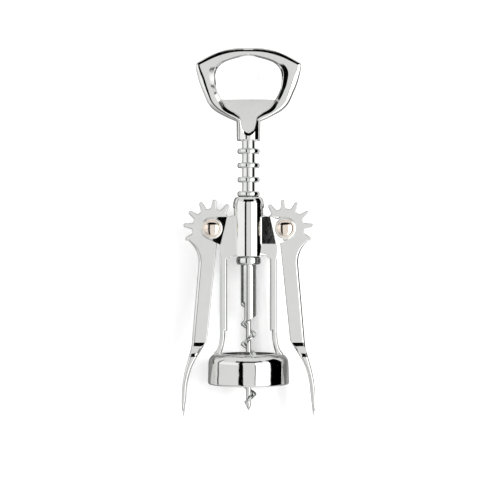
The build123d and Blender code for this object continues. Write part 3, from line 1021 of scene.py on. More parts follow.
# ---------------------------------------------------------------- bell frame
@dataclass
class FrameCasting:
    """The frame's casting, with the draft of the blocks beside the barrel and the fillets of the lugs.

    Places are (x, z) in millimetres on the right; depths are from the middle plane. The draft is in
    degrees. A cutting solid runs past what it cuts by the overrun.
    """

    pivot: Flat = PIVOT
    lug_radius: float = 5.45
    lug_face: float = LUG_FACE
    lug_margin: float = 0.03
    lug_foot: tuple[Flat, Flat] = ((9.0, 66.2), (13.6, 66.2))
    lug_turn: Flat = (-65.0, 90.0)
    block_face: float = 5.1
    block_edge: tuple[Flat, Flat] = ((13.5, 66.0), (10.73, 79.15))
    block_low: float = 61.2
    block_bend: float = 66.4
    draft: float = 8.8
    draft_start: float = 13.2
    draft_end: float = 5.0
    least_cut: float = 0.01
    barrel_radius: float = 7.4
    barrel_margin: float = 0.02
    barrel_span: Flat = (50.0, 100.0)
    fillet_reach: float = 3.3
    fillet_top: float = 4.97
    fillet_lap: float = 0.6
    fillet_sink: float = 0.4
    fillet_foot: float = 0.02
    spot_radius: float = 5.05
    overrun: float = 2.0
    slope_overrun: float = 3.0
    lug_reach: float = 8.0
    spot_reach: float = 9.0
    barrel_steps: int = 192
    lug_steps: int = 30

    def build(self) -> Piece:
        """Builds the casting on a merged copy of the frame's own node.

        Returns:
            The casting, in place.
        """
        piece = link_mesh("frame_casting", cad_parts["bell_frame"].data.copy())
        finish_mesh(piece)
        for side in Side:
            for face in Face:
                combine(piece, self.block_cut(side, face), Join.DIFFERENCE)
                combine(piece, self.lug_fillet(side, face), Join.UNION)
        return piece

    def block_cut(self, side: Side, face: Face) -> Piece:
        """Makes what the draft takes off a block.

        Args:
            side: which block.
            face: which of its faces.

        Returns:
            The cutting solid, clear of the barrel.
        """
        layers = []
        top = self.block_edge[1][1] + self.overrun
        for height, share in ((self.block_low, 0.0), (self.block_bend, 1.0), (top, 1.0)):
            slope = math.tan(math.radians(self.draft))
            fall = self.least_cut + share * slope * (self.draft_start - self.draft_end)
            section = [
                (self.draft_start, self.block_face),
                (self.draft_start, self.block_face + self.overrun),
                (self.draft_end, self.block_face + self.overrun),
                (self.draft_end, self.block_face - fall),
            ]
            layers.append([(side * x, -face * depth, height) for x, depth in section])
        barrel = rod(self.barrel_radius + self.barrel_margin, *self.barrel_span)
        keep = turned("keep", barrel, self.barrel_steps)
        return combine(skin("block_cut", layers), keep, Join.DIFFERENCE)

    def lug_fillet(self, side: Side, face: Face) -> Piece:
        """Makes the slope between a block's edge and its lug, cut clear round the washer.

        Args:
            side: which block.
            face: which of its faces.

        Returns:
            The slope, as a solid.
        """
        foot, top = (Vector(corner) for corner in self.block_edge)
        rise = (top - foot).normalized()
        out = Vector((rise.y, -rise.x))
        low = self.lug_face - self.fillet_sink
        lap = self.fillet_lap
        section = [
            (-lap, low),
            (self.fillet_reach, low),
            (self.fillet_reach, self.lug_face - self.fillet_foot),
            (-lap, self.fillet_top + lap * (self.fillet_top - self.lug_face) / self.fillet_reach),
        ]
        layers = []
        for end in (foot - rise * self.slope_overrun, top + rise * self.slope_overrun):
            places = [(end + out * u, depth) for u, depth in section]
            layers.append([(side * place.x, -face * depth, place.y) for place, depth in places])
        wedge = skin("lug_fillet", layers)
        radius = self.lug_radius - self.lug_margin
        rim = arc(self.pivot, radius, *(math.radians(turn) for turn in self.lug_turn), self.lug_steps)
        outline = [*self.lug_foot, *rim, (self.lug_foot[0][0], self.pivot[1] + radius)]
        reach = self.lug_reach
        ends = [[(side * x, depth, z) for x, z in outline] for depth in (-reach, reach)]
        combine(wedge, skin("lug", ends), Join.INTERSECT)
        spot = rod(self.spot_radius, -self.spot_reach, self.spot_reach)
        place = (side * self.pivot[0], self.pivot[1])
        return combine(wedge, turned_across("spot", place, spot), Join.DIFFERENCE)


# ---------------------------------------------------------------- levers
@dataclass
class Lever:
    """A lever: toothed sector, flat arm with a rounded outer flank, and the thumb paddle.

    Places are (outwards, up) from the pivot in millimetres, and angles in degrees. Tables are read by
    height: widening is the half-depth gained per millimetre down, and rounds are the corners' rounding.
    """

    pivot: Flat = PIVOT
    half_depth: float = 2.4
    edge_round: float = 0.5
    hub_radius: float = 6.2
    hole_radius: float = 2.56
    hole_reach: float = 5.0
    root_radius: float = 9.45
    tip_radius: float = 13.65
    tooth_count: int = 8
    tooth_angle: float = 29.3
    first_angle: float = 182.6
    base_half_width: float = 1.55
    tip_half_width: float = 1.0
    root_round: float = 0.8
    root_sink: float = 0.03
    tooth_tail: Flat = (2.0, 0.6)  # a tooth's end in the plate: in from the root, down from the flare
    flare_rounds: int = 6
    flare_steps: int = 7
    tip_steps: int = 14
    sector_margins: Flat = (13.0, 11.0)  # past the last tooth and before the first
    hub_gap: float = 0.1  # radians between the rim's end and the hub
    rim_steps: int = 80
    hub_steps: int = 40
    inner: tuple[Corner, ...] = (
        (-2.6, -3.0, 0.0),
        (-2.1, -8.6, 4.0),
        (2.4, -53.2, 3.0),
        (11.2, -67.4, 32.0),
        (12.85, -87.2, 0.0),
        (13.3, -88.95, 0.0),
    )
    outer: tuple[Corner, ...] = (
        (12.4, -4.3, 0.0),
        (5.9, -11.5, 13.0),
        (9.8, -56.5, 14.0),
        (14.6, -73.8, 60.0),
        (14.05, -87.4, 0.0),
        (13.5, -88.95, 0.0),
    )
    path_steps: tuple[int, int] = (24, 2)
    widening: tuple[Flat, ...] = (
        (-3.0, 0.0), (-53.6, 0.0), (-53.8, 0.34), (-55.7, 0.40), (-56.0, 0.96), (-58.4, 0.96),
        (-58.7, 0.42), (-60.5, 0.34), (-60.8, 0.02), (-64.0, 0.0), (-90.0, 0.0),
    )
    flank_rounds: tuple[Flat, ...] = (
        (-3.0, 0.4), (-9.0, 1.5), (-54.0, 1.5), (-60.0, 1.2), (-66.0, 1.1), (-80.0, 0.75),
    )
    inner_rounds: tuple[Flat, ...] = (
        (-3.0, 0.4), (-55.2, 0.5), (-56.4, 2.8), (-59.0, 2.8), (-60.6, 1.3), (-66.0, 1.1), (-80.0, 0.75),
    )
    stations: tuple[tuple[float, float, int], ...] = (  # from, to, and how many sections
        (-3.95, -9.0, 14), (-9.0, -20.0, 12), (-20.0, -52.0, 10), (-52.0, -62.4, 40), (-62.4, -82.2, 16),
    )
    tip_height: float = -88.95
    tip_turn: int = 8
    last_turn: int = 80
    roundest: Flat = (0.48, 0.9)  # the most that a corner takes of a section's breadth and half-depth

    def build(self, side: Side, material: Material) -> Piece:
        """Builds one lever.

        Args:
            side: which lever.
            material: its finish.

        Returns:
            The lever, in place.
        """
        piece = self.teeth(material)
        combine(piece, self.sector(), Join.UNION)
        combine(piece, self.arm(), Join.UNION)
        hole = rod(self.hole_radius, -self.hole_reach, self.hole_reach)
        combine(piece, turned_across("hole", (0, 0), hole), Join.DIFFERENCE)
        move = Matrix.Translation(Vector((self.pivot[0], 0, self.pivot[1])) * MM)
        if side is Side.LEFT:
            move = Matrix.Scale(-1, 4, Vector((1, 0, 0))) @ move
        piece.data.transform(move)
        if side is Side.LEFT:
            piece.data.flip_normals()
        return piece

    def teeth(self, material: Material) -> Piece:
        """Makes the ring of teeth: one tooth, repeated round the pivot by a node recipe.

        Args:
            material: the lever's finish.

        Returns:
            The teeth, round the origin.
        """
        model = slab("tooth_model", self.tooth_outline(), self.half_depth, self.edge_round)
        recipe = Recipe("gear_teeth")
        count = recipe.given("Count", self.tooth_count)
        angle = recipe.given("Angle Between Teeth", math.radians(self.tooth_angle))
        first = recipe.given("First Angle", -math.radians(self.first_angle))
        tooth = recipe.given("Tooth", model)
        number = recipe.add("GeometryNodeInputIndex").outputs[0]
        turn = recipe.math("MULTIPLY_ADD", number, angle, first)
        euler = recipe.add("FunctionNodeEulerToRotation", {0: recipe.vector(0.0, turn, 0.0)}).outputs[0]
        shape = recipe.add("GeometryNodeObjectInfo", {"Object": tooth}).outputs["Geometry"]
        ring = recipe.spread(count, shape, {"Offset": (0.0, 0.0, 0.0)}, Rotation=euler)
        piece = recipe.make("lever_casting", ring, material)
        bpy.data.objects.remove(model)
        return piece

    def tooth_outline(self) -> list[Flat]:
        """One finger-shaped tooth with flared root, pointing along +X from the pivot.

        Returns:
            Its outline, counter-clockwise. The flare's centre settles in a few rounds.
        """
        start, end = self.root_radius - self.root_round, self.tip_radius - self.tip_half_width
        taper = (self.base_half_width - self.tip_half_width) / (end - start)
        lean = math.atan(taper)
        root = self.root_radius - self.root_sink
        height = self.base_half_width + self.root_round
        for _ in range(self.flare_rounds):
            reach = math.sqrt((root + self.root_round) ** 2 - height**2)
            height = self.base_half_width - taper * (reach - start) + self.root_round / math.cos(lean)
        toward_root = math.atan2(-height, -reach)
        flare = arc((reach, height), self.root_round, toward_root, -QUARTER - lean, self.flare_steps)
        tip = arc((end, 0.0), self.tip_half_width, QUARTER, -QUARTER, self.tip_steps)
        upper = [(self.root_radius - self.tooth_tail[0], height - self.tooth_tail[1])] + flare
        return list(reversed(upper + tip + [(x, -y) for x, y in reversed(upper)]))

    def sector(self) -> Piece:
        """Makes the plate inside the teeth: most of a disc, and the smaller hub below it.

        Returns:
            The plate, round the origin.
        """
        last = self.first_angle - self.tooth_angle * (self.tooth_count - 1)
        low = math.radians(last - self.sector_margins[0])
        high = math.radians(self.first_angle + self.sector_margins[1])
        rim = arc((0.0, 0.0), self.root_radius, low, high, self.rim_steps)
        start, end = high + self.hub_gap, low + math.tau - self.hub_gap
        hub = arc((0.0, 0.0), self.hub_radius, start, end, self.hub_steps)
        return slab("sector", rim + hub, self.half_depth, self.edge_round)

    def arm(self) -> Piece:
        """Skins the arm and paddle over level sections whose corners grow and shrink on the way down.

        Returns:
            The arm, below the origin.
        """
        inner = rounded_path(self.inner, *self.path_steps)
        outer = rounded_path(self.outer, *self.path_steps)
        heights = []
        for start, end, count in self.stations:
            heights += [start + (end - start) * step / count for step in range(count)]
        widths = [self.half_depth]
        for high, low in zip(heights, heights[1:]):
            widths.append(widths[-1] + along(self.widening, (high + low) / 2) * (high - low))
        broad = widths[-1]
        for turn in range(0, self.last_turn + 1, self.tip_turn):
            heights.append(self.tip_height + broad - broad * math.sin(math.radians(turn)))
            widths.append(broad * math.cos(math.radians(turn)))
        layers = []
        for height, width in zip(heights, widths):
            near, far = across(inner, height), across(outer, height)
            most = min(self.roundest[0] * (far - near), self.roundest[1] * width)
            rounds = [min(along(table, height), most) for table in (self.inner_rounds, self.flank_rounds)]
            section = rounded_section((near, far), width, rounds)
            layers.append([(x, y, height) for x, y in section])
        return skin("arm", layers)


# ---------------------------------------------------------------- shaft, collar and worm
@dataclass
class RackShaft:
    """The ringed shaft: round-edged rings at an even pitch on a core, with a spigot at each end."""

    ring_count: int = 8
    pitch: float = 6.75
    first_ring: float = 62.98
    ring_radius: float = 5.35
    ring_height: float = 2.7
    ring_round: float = 1.0
    ring_inset: float = 0.6  # how much less a ring goes into the core than it stands out of it
    core_radius: float = 3.25
    core: Flat = (60.5, NECK_FOOT)
    spigot_radius: float = SPIGOT_RADIUS
    spigot_chamfer: float = 0.3
    lower_end: float = SHANK_TOP - SHANK_SEAT
    upper_end: float = NECK_FOOT + NECK_SEAT
    steps: int = 96
    round_steps: int = 7

    def build(self, material: Material) -> Piece:
        """Builds the shaft.

        Args:
            material: its finish.

        Returns:
            The shaft, in place.
        """
        end, radius = self.spigot_chamfer, self.spigot_radius
        profile = [
            (0, self.lower_end),
            (radius - end, self.lower_end),
            (radius, self.lower_end + end),
            (radius, self.core[0]),
            (self.core_radius, self.core[0]),
            (self.core_radius, self.core[1]),
            (radius, self.core[1]),
            (radius, self.upper_end - end),
            (radius - end, self.upper_end),
            (0, self.upper_end),
        ]
        return combine(self.rings(material), turned("shaft_core", profile, self.steps), Join.UNION)

    def rings(self, material: Material) -> Piece:
        """Makes the rings: one rounded ring, swept by a node recipe and repeated up the shaft.

        Args:
            material: the shaft's finish.

        Returns:
            The rings, reaching a little into the core.
        """
        recipe = Recipe("rack_rings")
        count = recipe.given("Ring Count", self.ring_count)
        pitch = recipe.given("Pitch", self.pitch * MM)
        first = recipe.given("First Ring Height", self.first_ring * MM)
        radius = recipe.given("Ring Radius", self.ring_radius * MM)
        height = recipe.given("Ring Height", self.ring_height * MM)
        rounding = recipe.given("Edge Rounding", self.ring_round * MM)
        start = 2 * self.core_radius - self.ring_radius + self.ring_inset
        middle = recipe.math("MULTIPLY_ADD", radius, 0.5, start / 2 * MM)
        path = recipe.add("GeometryNodeCurvePrimitiveCircle", {"Resolution": self.steps, "Radius": middle})
        sides = {"Width": recipe.math("SUBTRACT", radius, start * MM), "Height": height}
        section = recipe.add("GeometryNodeCurvePrimitiveQuadrilateral", sides).outputs[0]
        corners = {"Count": self.round_steps, "Curve": section, "Radius": rounding}
        soft = recipe.add("GeometryNodeFilletCurve", corners, mode="POLY").outputs[0]
        curves = {"Curve": path.outputs[0], "Profile Curve": soft}
        sweep = recipe.add("GeometryNodeCurveToMesh", curves).outputs[0]
        line = {"Start Location": recipe.vector(0.0, 0.0, first), "Offset": recipe.vector(0.0, 0.0, pitch)}
        return recipe.make("ringed_shaft", recipe.spread(count, sweep, line), material)


@dataclass
class Worm:
    """The worm: a pointed rod with one deep right-handed groove, and a shank with a bore for the shaft.

    The groove's end and its run-out are in degrees. The shares say how much of the grid's half-width
    lies in the groove, and how much up to the blade's edge.
    """

    radius: float = 3.7
    core_radius: float = 1.2
    pitch: float = 9.5
    shank_top: float = SHANK_TOP
    tip: float = -12.5
    groove_top: float = 34.9
    groove_end: float = 247.0
    groove_fade: float = 50.0
    groove_share: float = 0.34
    flank_share: float = 0.87
    root_width: float = 2.8
    edge_width: float = 0.35
    point_length: float = 7.6
    point_radius: float = 0.15
    bore_radius: float = SPIGOT_RADIUS
    bore_depth: float = SHANK_SEAT
    overrun: float = 1.0
    weld: float = 0.004
    spare_turns: int = 2
    steps_per_turn: int = 60
    columns: int = 30
    bore_steps: int = 64

    def build(self, material: Material) -> Piece:
        """Builds the worm.

        Args:
            material: its finish.

        Returns:
            The worm, in place.
        """
        worm = finish_mesh(self.winding(material))
        bore = rod(self.bore_radius, self.shank_top - self.bore_depth, self.shank_top + self.overrun)
        return combine(worm, turned("bore", bore, self.bore_steps), Join.DIFFERENCE)

    def winding(self, material: Material) -> Piece:
        """Winds a grid round the axis along the groove, by a node recipe.

        Args:
            material: the worm's finish.

        Returns:
            The worm before its shank is bored.
        """
        recipe = Recipe("worm_winding")
        calc = recipe.math
        radius = recipe.given("Radius", self.radius * MM)
        core = recipe.given("Core Radius", self.core_radius * MM)
        pitch = recipe.given("Pitch", self.pitch * MM)
        top = recipe.given("Shank Top", self.shank_top * MM)
        tip = recipe.given("Tip Height", self.tip * MM)
        groove_top = recipe.given("Groove Top", self.groove_top * MM)
        end = recipe.given("Groove End Angle", math.radians(self.groove_end))
        fade = recipe.given("Groove Run-out", math.radians(self.groove_fade))
        root = recipe.given("Blade Root Width", self.root_width * MM)
        edge = recipe.given("Blade Edge Width", self.edge_width * MM)
        point = recipe.given("Point Length", self.point_length * MM)
        blunt = recipe.given("Point Radius", self.point_radius * MM)
        below = math.ceil((self.groove_top - self.tip) / self.pitch) + self.spare_turns
        above = math.ceil((self.shank_top - self.groove_top) / self.pitch) + self.spare_turns
        size = {
            "Size X": 1.0,
            "Size Y": 1.0,
            "Vertices X": (below + above) * self.steps_per_turn + 1,
            "Vertices Y": self.columns + 1,
        }
        grid = recipe.add("GeometryNodeMeshGrid", size).outputs[0]
        split = recipe.add("ShaderNodeSeparateXYZ", {0: recipe.add("GeometryNodeInputPosition").outputs[0]})
        turns = recipe.ranged(split.outputs["X"], (-0.5, 0.5), (float(-below), float(above)))
        angle = calc("MULTIPLY_ADD", turns, math.tau, end)
        share = calc("MULTIPLY", calc("ABSOLUTE", split.outputs["Y"]), 2.0)
        half_pitch, half_root, half_edge = (calc("MULTIPLY", width, 0.5) for width in (pitch, root, edge))
        floor_width = calc("SUBTRACT", half_pitch, half_root)
        flank_width = calc("SUBTRACT", half_root, half_edge)
        in_groove = recipe.ranged(share, (0.0, self.groove_share), (0.0, floor_width))
        on_flank = recipe.ranged(share, (self.groove_share, self.flank_share), (0.0, flank_width))
        on_edge = recipe.ranged(share, (self.flank_share, 1.0), (0.0, half_edge))
        offset = calc("ADD", calc("ADD", in_groove, on_flank), on_edge)
        from_blade = calc("SUBTRACT", half_pitch, offset)
        blade = recipe.ranged(from_blade, (half_edge, half_root), (radius, core))
        depth = recipe.ranged(angle, (calc("SUBTRACT", end, fade), end), (1.0, 0.0), Easing.SMOOTH)
        cut = calc("MULTIPLY", calc("SUBTRACT", radius, blade), depth)
        height = calc("MULTIPLY_ADD", turns, pitch, groove_top)
        height = calc("MULTIPLY_ADD", calc("SIGN", split.outputs["Y"]), offset, height)
        cone = calc("MULTIPLY", calc("SUBTRACT", height, tip), calc("SUBTRACT", radius, blunt))
        cone = calc("MAXIMUM", calc("ADD", calc("DIVIDE", cone, point), blunt), 0.0)
        past_top = calc("DIVIDE", calc("SUBTRACT", height, top), half_pitch)
        over = recipe.ranged(past_top, (0.0, 1.0), (0.0, 1.0))
        lid = calc("MULTIPLY", radius, calc("SUBTRACT", 1.0, over))
        out = calc("MINIMUM", calc("SUBTRACT", radius, cut), calc("MINIMUM", cone, lid))
        level = calc("MINIMUM", calc("MAXIMUM", height, tip), top)
        across_x, across_y = (calc("MULTIPLY", out, calc(way, angle)) for way in ("COSINE", "SINE"))
        place = recipe.vector(across_x, across_y, level)
        wind = recipe.add("GeometryNodeSetPosition", {"Geometry": grid, "Position": place}).outputs[0]
        weld = recipe.add("GeometryNodeMergeByDistance", {"Distance": self.weld * MM, "Geometry": wind})
        return recipe.make("cork_worm", weld.outputs[0], material)


@dataclass
class StopCollar:
    """The loose ring under the barrel."""

    bottom: float = 56.55
    top: float = 60.45
    radius: float = 5.75
    rounding: float = 1.2
    bore_radius: float = 2.26
    bore_lip: float = 0.2
    edge_steps: int = 9
    steps: int = 96

    def build(self) -> Piece:
        """Builds the collar.

        Returns:
            The collar, in place.
        """
        middle = self.radius - self.rounding
        low = arc((middle, self.bottom + self.rounding), self.rounding, -QUARTER, 0, self.edge_steps)
        high = arc((middle, self.top - self.rounding), self.rounding, 0, QUARTER, self.edge_steps)
        bore = [
            (self.bore_radius + self.bore_lip, self.top),
            (self.bore_radius, self.top - self.bore_lip),
            (self.bore_radius, self.bottom + self.bore_lip),
            (self.bore_radius + self.bore_lip, self.bottom),
        ]
        return turned("loose_stop_collar", low + high + bore, self.steps)


# ---------------------------------------------------------------- pivots
@dataclass
class PivotHardware:
    """The rivets and the washers under their heads.

    Profiles are (radius, distance in front of the middle). A head and a clinched end are given by
    their height, the ball radius of their dome and the rounding of their edge. The bevel's slope is
    in degrees.
    """

    pivot: Flat = PIVOT
    lug_face: float = LUG_FACE
    washer_thickness: float = 0.6
    washer_radius: float = 4.85
    washer_bore: float = 2.6
    washer_edge: float = 0.15
    washer_bevel: float = 0.45
    bevel_rim: float = 0.06
    bevel_slope: float = 12.5
    shank_radius: float = 2.5
    head: Corner = (2.1, 8.0, 1.5)
    clinch: Corner = (1.3, 12.0, 0.9)
    head_radius: float = 3.95
    clinch_radius: float = 3.75
    foot_chamfer: float = 0.05
    dome_steps: int = 14
    roll_steps: int = 12

    def cap(self, size: Corner, radius: float) -> list[Flat]:
        """A cap's profile: a shallow dome whose edge rolls over, from the middle out to its foot.

        Args:
            size: its height, the ball radius of its dome and the rounding of its edge.
            radius: where its edge ends.

        Returns:
            Points as (radius, distance in front of the middle).
        """
        height, ball, edge = size
        face = self.lug_face + self.washer_thickness
        lean = math.asin((radius - edge) / (ball - edge))
        centre = face + height - ball
        roll = ((ball - edge) * math.sin(lean), centre + (ball - edge) * math.cos(lean))
        dome = arc((0.0, centre), ball, QUARTER, QUARTER - lean, self.dome_steps)
        rim = arc(roll, edge, QUARTER - lean, 0.0, self.roll_steps)
        return dome + rim[1:] + [(radius, face + self.foot_chamfer), (radius - self.foot_chamfer, face)]

    def rivet(self, side: Side) -> Piece:
        """Makes one rivet.

        Args:
            side: which pivot it holds.

        Returns:
            The rivet, in place.
        """
        face = self.lug_face + self.washer_thickness
        front = self.cap(self.head, self.head_radius)
        back = [(r, -h) for r, h in reversed(self.cap(self.clinch, self.clinch_radius))]
        shank = [(self.shank_radius, face), (self.shank_radius, -face)]
        return turned_across("rivet", self.at(side), front + shank + back)

    def washer(self, side: Side, face: Face) -> Piece:
        """Makes one washer.

        Args:
            side: which pivot it is on.
            face: whether it lies in front or behind.

        Returns:
            The washer, in place.
        """
        low, high = self.lug_face, self.lug_face + self.washer_thickness
        inner, outer, edge = self.washer_bore, self.washer_radius, self.washer_edge
        fall = self.washer_bevel * math.tan(math.radians(self.bevel_slope))
        profile = [
            (inner, low),
            (outer - edge, low),
            (outer, low + edge),
            (outer, high - edge),
            (outer - self.bevel_rim, high - fall),
            (outer - self.washer_bevel, high),
            (inner + edge, high),
            (inner, high - edge),
        ]
        return turned_across("washer", self.at(side), [(r, face * h) for r, h in profile])

    def at(self, side: Side) -> Flat:
        """The pivot on one side."""
        return (side * self.pivot[0], self.pivot[1])


# ---------------------------------------------------------------- handle
@dataclass
class Handle:
    """The opener handle: a bevelled loop with a dished inside, the web, the tongue and the round neck.

    Places are (half-width, height above the neck's foot) in millimetres, and depths are from the middle
    plane. Each corner of the outline has its rim's width, its slope in degrees, the softness of its
    crest and its edge's rounding. The third measure of the pocket's rim is its depth below the crest.
    The wall is (share of the way from rim to floor, fall below the rim).
    """

    foot: float = NECK_FOOT
    half_depth: float = 4.0
    web_half_depth: float = 1.6
    web_top: float = 19.7
    rim_rows: int = 10
    neck_radius: float = 5.7
    neck_height: float = 11.5
    neck_chamfer: float = 0.6
    neck_shoulder: Flat = (1.2, 1.0)
    seat_radius: float = SPIGOT_RADIUS
    seat_depth: float = NECK_SEAT
    outer: tuple[Corner, ...] = (
        (0.0, 44.1, 0.0),
        (11.6, 44.1, 36.0),
        (25.3, 36.6, 2.6),
        (23.9, 28.6, 40.0),
        (18.3, 15.6, 12.0),
        (9.0, 10.9, 4.0),
        (5.2, 9.4, 1.8),
        (0.0, 9.4, 0.0),
    )
    path_steps: tuple[int, int] = (12, 8)
    curve_steps: int = 6
    rim: tuple[tuple[float, float, float, float], ...] = (
        (2.0, 15.0, 0.25, 0.7),
        (2.0, 15.0, 0.25, 0.7),
        (1.95, 15.0, 0.62, 1.0),
        (3.0, 17.0, 0.8, 1.6),
        (2.3, 15.0, 0.5, 1.9),
        (1.3, 14.0, 0.25, 1.0),
        (0.9, 14.0, 0.2, 0.6),
        (0.9, 14.0, 0.2, 0.6),
    )
    pocket_rim: tuple[Corner, ...] = (
        (0, 41.4, 0.12), (8.8, 39.8, 0.15), (15.3, 37.1, 0.25), (18.6, 33.0, 0.44), (18.2, 27.6, 0.375),
        (16.6, 23.0, 0.25), (14.0, 17.8, 0.42), (11.6, 14.0, 0.40), (7.4, 12.0, 0.27), (4.7, 10.4, 0.14),
        (3.9, 8.0, 0.07), (3.2, 5.0, 0.10), (2.0, 3.0, 0.25), (0, 2.2, 0.28),
    )
    pocket_floor: tuple[Flat, ...] = (
        (0, 40.5), (7.8, 39.0), (12.8, 36.8), (15.4, 32.8), (15.35, 27.2),
        (14.6, 23.6), (12.4, 19.2), (9.7, 15.75), (6.3, 13.3), (4.1, 11.2),
        (3.5, 8.5), (2.75, 5.9), (1.3, 4.7), (0, 4.2),
    )
    wall: tuple[Flat, ...] = ((0.66, 0.0), (0.71, 0.03), (0.76, 0.12), (0.93, 0.75), (0.97, 0.9), (1.0, 1.1))
    ramp_top: float = 19.9
    ramp_foot: float = 3.2
    ramp_foot_depth: float = 3.6
    ramp_end: float = -2.0
    ramp_half_width: float = 40.0
    overrun: float = 1.0
    hole_reach: float = 9.0
    box_reach: float = 10.0
    box_half_width: float = 30.0
    box_top: float = 60.0
    neck_steps: int = 96
    seat_steps: int = 48

    def build(self) -> Piece:
        """Builds the handle as one casting.

        Returns:
            The handle, in place.
        """
        body = self.loop()
        combine(body, self.neck(), Join.UNION)
        for face in Face:
            combine(body, self.pocket(face), Join.DIFFERENCE)
        combine(body, self.hole(), Join.DIFFERENCE)
        seat = rod(self.seat_radius, self.foot - self.overrun, self.foot + self.seat_depth)
        return combine(body, turned("seat", seat, self.seat_steps), Join.DIFFERENCE)

    def place(self, outline: list[Flat], depth: float) -> list[Corner]:
        """Puts an outline at a depth and at the handle's height."""
        return [(x, depth, z + self.foot) for x, z in outline]

    def loop(self) -> Piece:
        """Makes the loop before its pocket is cut, a slab whose rim slopes up to a crest on both faces.

        Returns:
            The loop, in place.
        """
        half = rounded_path(self.outer, *self.path_steps)
        outline = both_sides([tuple(point) for point in reversed(half)])
        measures = self.measures(half)
        around = measures[::-1] + measures[1:-1]
        layers = []
        for row in range(self.rim_rows + 2):
            layer = []
            for place, (x, z) in enumerate(outline):
                inward, depth = self.rim_step(around[place], row)
                before, after = Vector(outline[place - 1]), Vector(outline[(place + 1) % len(outline)])
                way = (after - before).normalized()
                layer.append((x - way.y * inward, -depth, z + way.x * inward + self.foot))
            layers.append(layer)
        back = [[(x, -y, z) for x, y, z in layer] for layer in reversed(layers)]
        return skin("handle_casting", back + layers)

    def measures(self, half: list[Flat]) -> list[Vector]:
        """Spreads the rim's measures, given at the outline's corners, smoothly over its points.

        Args:
            half: the points of the half outline.

        Returns:
            The rim's measures at each point.
        """
        arc_steps, line_steps = self.path_steps
        lengths = [0.0]
        for start, end in zip(half, half[1:]):
            lengths.append(lengths[-1] + (Vector(end) - Vector(start)).length)
        corners = range(len(self.outer) - 2)
        stops = [0, *(line_steps + arc_steps // 2 + turn * (line_steps + arc_steps) for turn in corners)]
        stops.append(len(half) - 1)
        measures = []
        for place, length in enumerate(lengths):
            part = max(index for index, stop in enumerate(stops[:-1]) if stop <= place)
            share = (length - lengths[stops[part]]) / (lengths[stops[part + 1]] - lengths[stops[part]])
            soft = share * share * (3 - 2 * share)
            measures.append(Vector(self.rim[part]).lerp(Vector(self.rim[part + 1]), soft))
        return measures

    def rim_step(self, measure: Vector, row: int) -> Flat:
        """One row of points up the rim.

        Args:
            measure: the rim's width, its slope in degrees, the softness of its crest and its edge's rounding.
            row: counted from the widest line.

        Returns:
            Distance in from the outside, and depth.
        """
        width, slope, soft, rounding = measure
        tilt = math.tan(math.radians(slope))
        if row < self.rim_rows:
            angle = math.radians((90 - slope) * row / (self.rim_rows - 1))
            inward = rounding * (1 - math.cos(angle))
            foot = rounding * (1 - math.sin(angle))
            end = rounding * (1 - math.cos(math.radians(90 - slope)))
            top = rounding * (1 - math.sin(math.radians(90 - slope)))
            return inward, self.half_depth - (width - end) * tilt - foot + top
        if row == self.rim_rows:
            return width - soft, self.half_depth - soft * tilt
        return width + soft, self.half_depth

    def neck(self) -> Piece:
        """Makes the round neck.

        Returns:
            The neck, in place.
        """
        outer, chamfer = self.neck_radius, self.neck_chamfer
        low, top = self.foot, self.foot + self.neck_height
        profile = [
            (0, low),
            (outer - chamfer, low),
            (outer, low + chamfer),
            (outer, top - self.neck_shoulder[1]),
            (outer - self.neck_shoulder[0], top),
            (0, top),
        ]
        return turned("neck", profile, self.neck_steps)

    def pocket(self, face: Face) -> Piece:
        """What is cut from one face: a shallow dish inside the crest, then the steep wall down to the web.

        Args:
            face: the face that is cut.

        Returns:
            The cutting solid.
        """
        rim = smooth_loop(both_sides(self.pocket_rim), self.curve_steps)
        floor = smooth_loop(both_sides(self.pocket_floor), self.curve_steps)
        flat_rim = [(x, z) for x, z, _ in rim]
        layers = [self.place(flat_rim, -face * depth) for depth in (2 * self.neck_radius, self.half_depth)]
        for share, fall in self.wall:
            layer = []
            for (x, z, drop), low in zip(rim, floor):
                edge = Vector((x, z)).lerp(Vector(low), share)
                layer.append((edge.x, -face * (self.half_depth - drop - fall), edge.y + self.foot))
            layers.append(layer)
        layers.append(self.place(floor, -face * self.web_half_depth))
        return combine(skin("pocket", layers), self.ramp(face), Join.DIFFERENCE)

    def ramp(self, face: Face) -> Piece:
        """The wedge left standing in the pocket, which carries the web's face out to the tongue's end.

        Args:
            face: the face that it stands on.

        Returns:
            The wedge, in place.
        """
        base, wide = self.web_half_depth - self.overrun, self.ramp_half_width
        profile = [
            (base, self.ramp_end),
            (self.ramp_foot_depth, self.ramp_end),
            (self.ramp_foot_depth, self.ramp_foot),
            (self.web_half_depth, self.ramp_top),
            (base, self.ramp_top),
        ]
        return skin("ramp", [[(x, -face * y, z + self.foot) for y, z in profile] for x in (-wide, wide)])

    def hole(self) -> Piece:
        """Makes what is cut through the loop, above the web.

        Returns:
            The cutting solid.
        """
        floor = smooth_loop(both_sides(self.pocket_floor), self.curve_steps)
        tool = skin("hole", [self.place(floor, depth) for depth in (-self.hole_reach, self.hole_reach)])
        wide, low, high = self.box_half_width, self.web_top, self.box_top
        box = [(-wide, low), (wide, low), (wide, high), (-wide, high)]
        above = skin("above_web", [self.place(box, depth) for depth in (-self.box_reach, self.box_reach)])
        return combine(tool, above, Join.INTERSECT)


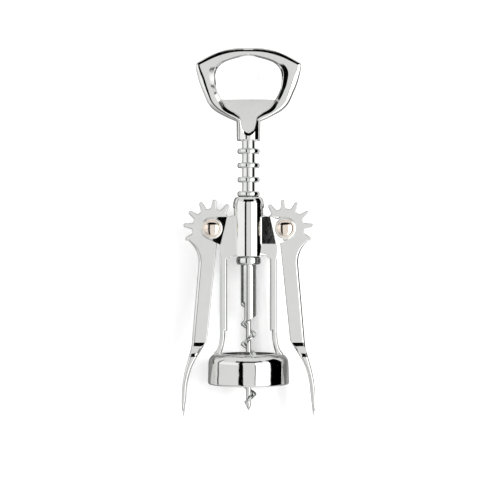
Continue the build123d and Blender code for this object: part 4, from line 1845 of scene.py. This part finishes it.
# ---------------------------------------------------------------- the corkscrew
@dataclass
class Corkscrew:
    """Builds every piece, dresses it and ties it to its body.

    Edges sharper than the sharp angle, in degrees, stay sharp; the handle's soft crest has its own.
    """

    palette: Palette
    sharp: float = 32.0
    handle_sharp: float = 9.5
    # past the barrel, where the painted shade on the walls facing the axis starts
    painted_shade_margin: float = 2.0

    def fit(self, piece: Piece, node: str, body: Body, finish: Finish, sharp: float) -> None:
        """Shades and dresses a piece, and lets it take its node's place.

        Args:
            piece: the finished shape.
            node: the node that it stands for.
            body: the body that it moves with.
            finish: its finish.
            sharp: edges sharper than this, in degrees, stay sharp.
        """
        piece.name = f"visual_{node}"
        self.palette.dress(piece, finish)
        shade(piece, sharp)
        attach(piece, body.value)
        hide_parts(node)
        LOG.info("%s: %d faces in %s", piece.name, len(piece.data.polygons), finish.value.name)

    def build(self) -> None:
        """Builds the corkscrew from the handle down."""
        self.fit(Handle().build(), "handle", Body.SPINDLE, Finish.CAST_CHROME, self.handle_sharp)
        steel = self.palette.get(Finish.TURNED_STEEL)
        self.fit(RackShaft().build(steel), "rack_shaft", Body.SPINDLE, Finish.TURNED_STEEL, self.sharp)
        self.fit(Worm().build(steel), "worm", Body.SPINDLE, Finish.TURNED_STEEL, self.sharp)
        self.fit(StopCollar().build(), "stop_collar", Body.COLLAR, Finish.TURNED_STEEL, self.sharp)
        self.build_wing(Side.RIGHT, Body.RIGHT_WING)
        self.build_wing(Side.LEFT, Body.LEFT_WING)
        casting = FrameCasting()
        piece = casting.build()
        self.fit(piece, "bell_frame", Body.FRAME, Finish.CAST_CHROME, self.sharp)
        round_normals(piece, casting.barrel_radius)
        # Painted shade: the frame's walls that face the axis take the dark finish.
        self.palette.line(piece, Finish.CAST_INSIDE, casting.barrel_radius + self.painted_shade_margin)

    def build_wing(self, side: Side, body: Body) -> None:
        """Builds one lever with its rivet and washers.

        Args:
            side: which side it is on.
            body: the lever's body.
        """
        label = side.name.lower()
        lever = Lever().build(side, self.palette.get(Finish.CAST_CHROME))
        self.fit(lever, f"{label}_lever", body, Finish.CAST_CHROME, self.sharp)
        hardware = PivotHardware()
        rivet = hardware.rivet(side)
        self.fit(rivet, f"{label}_pivot_rivet", Body.FRAME, Finish.COPPERED_BRASS, self.sharp)
        for face in Face:
            node = f"{label}_{face.name.lower()}_washer"
            self.fit(hardware.washer(side, face), node, Body.FRAME, Finish.PALE_NICKEL, self.sharp)


def main() -> None:
    """Builds the studio and the corkscrew."""
    logging.basicConfig(level=logging.INFO, format="%(message)s")
    Studio().build()
    Corkscrew(Palette()).build()


if __name__ == "__main__":
    main()
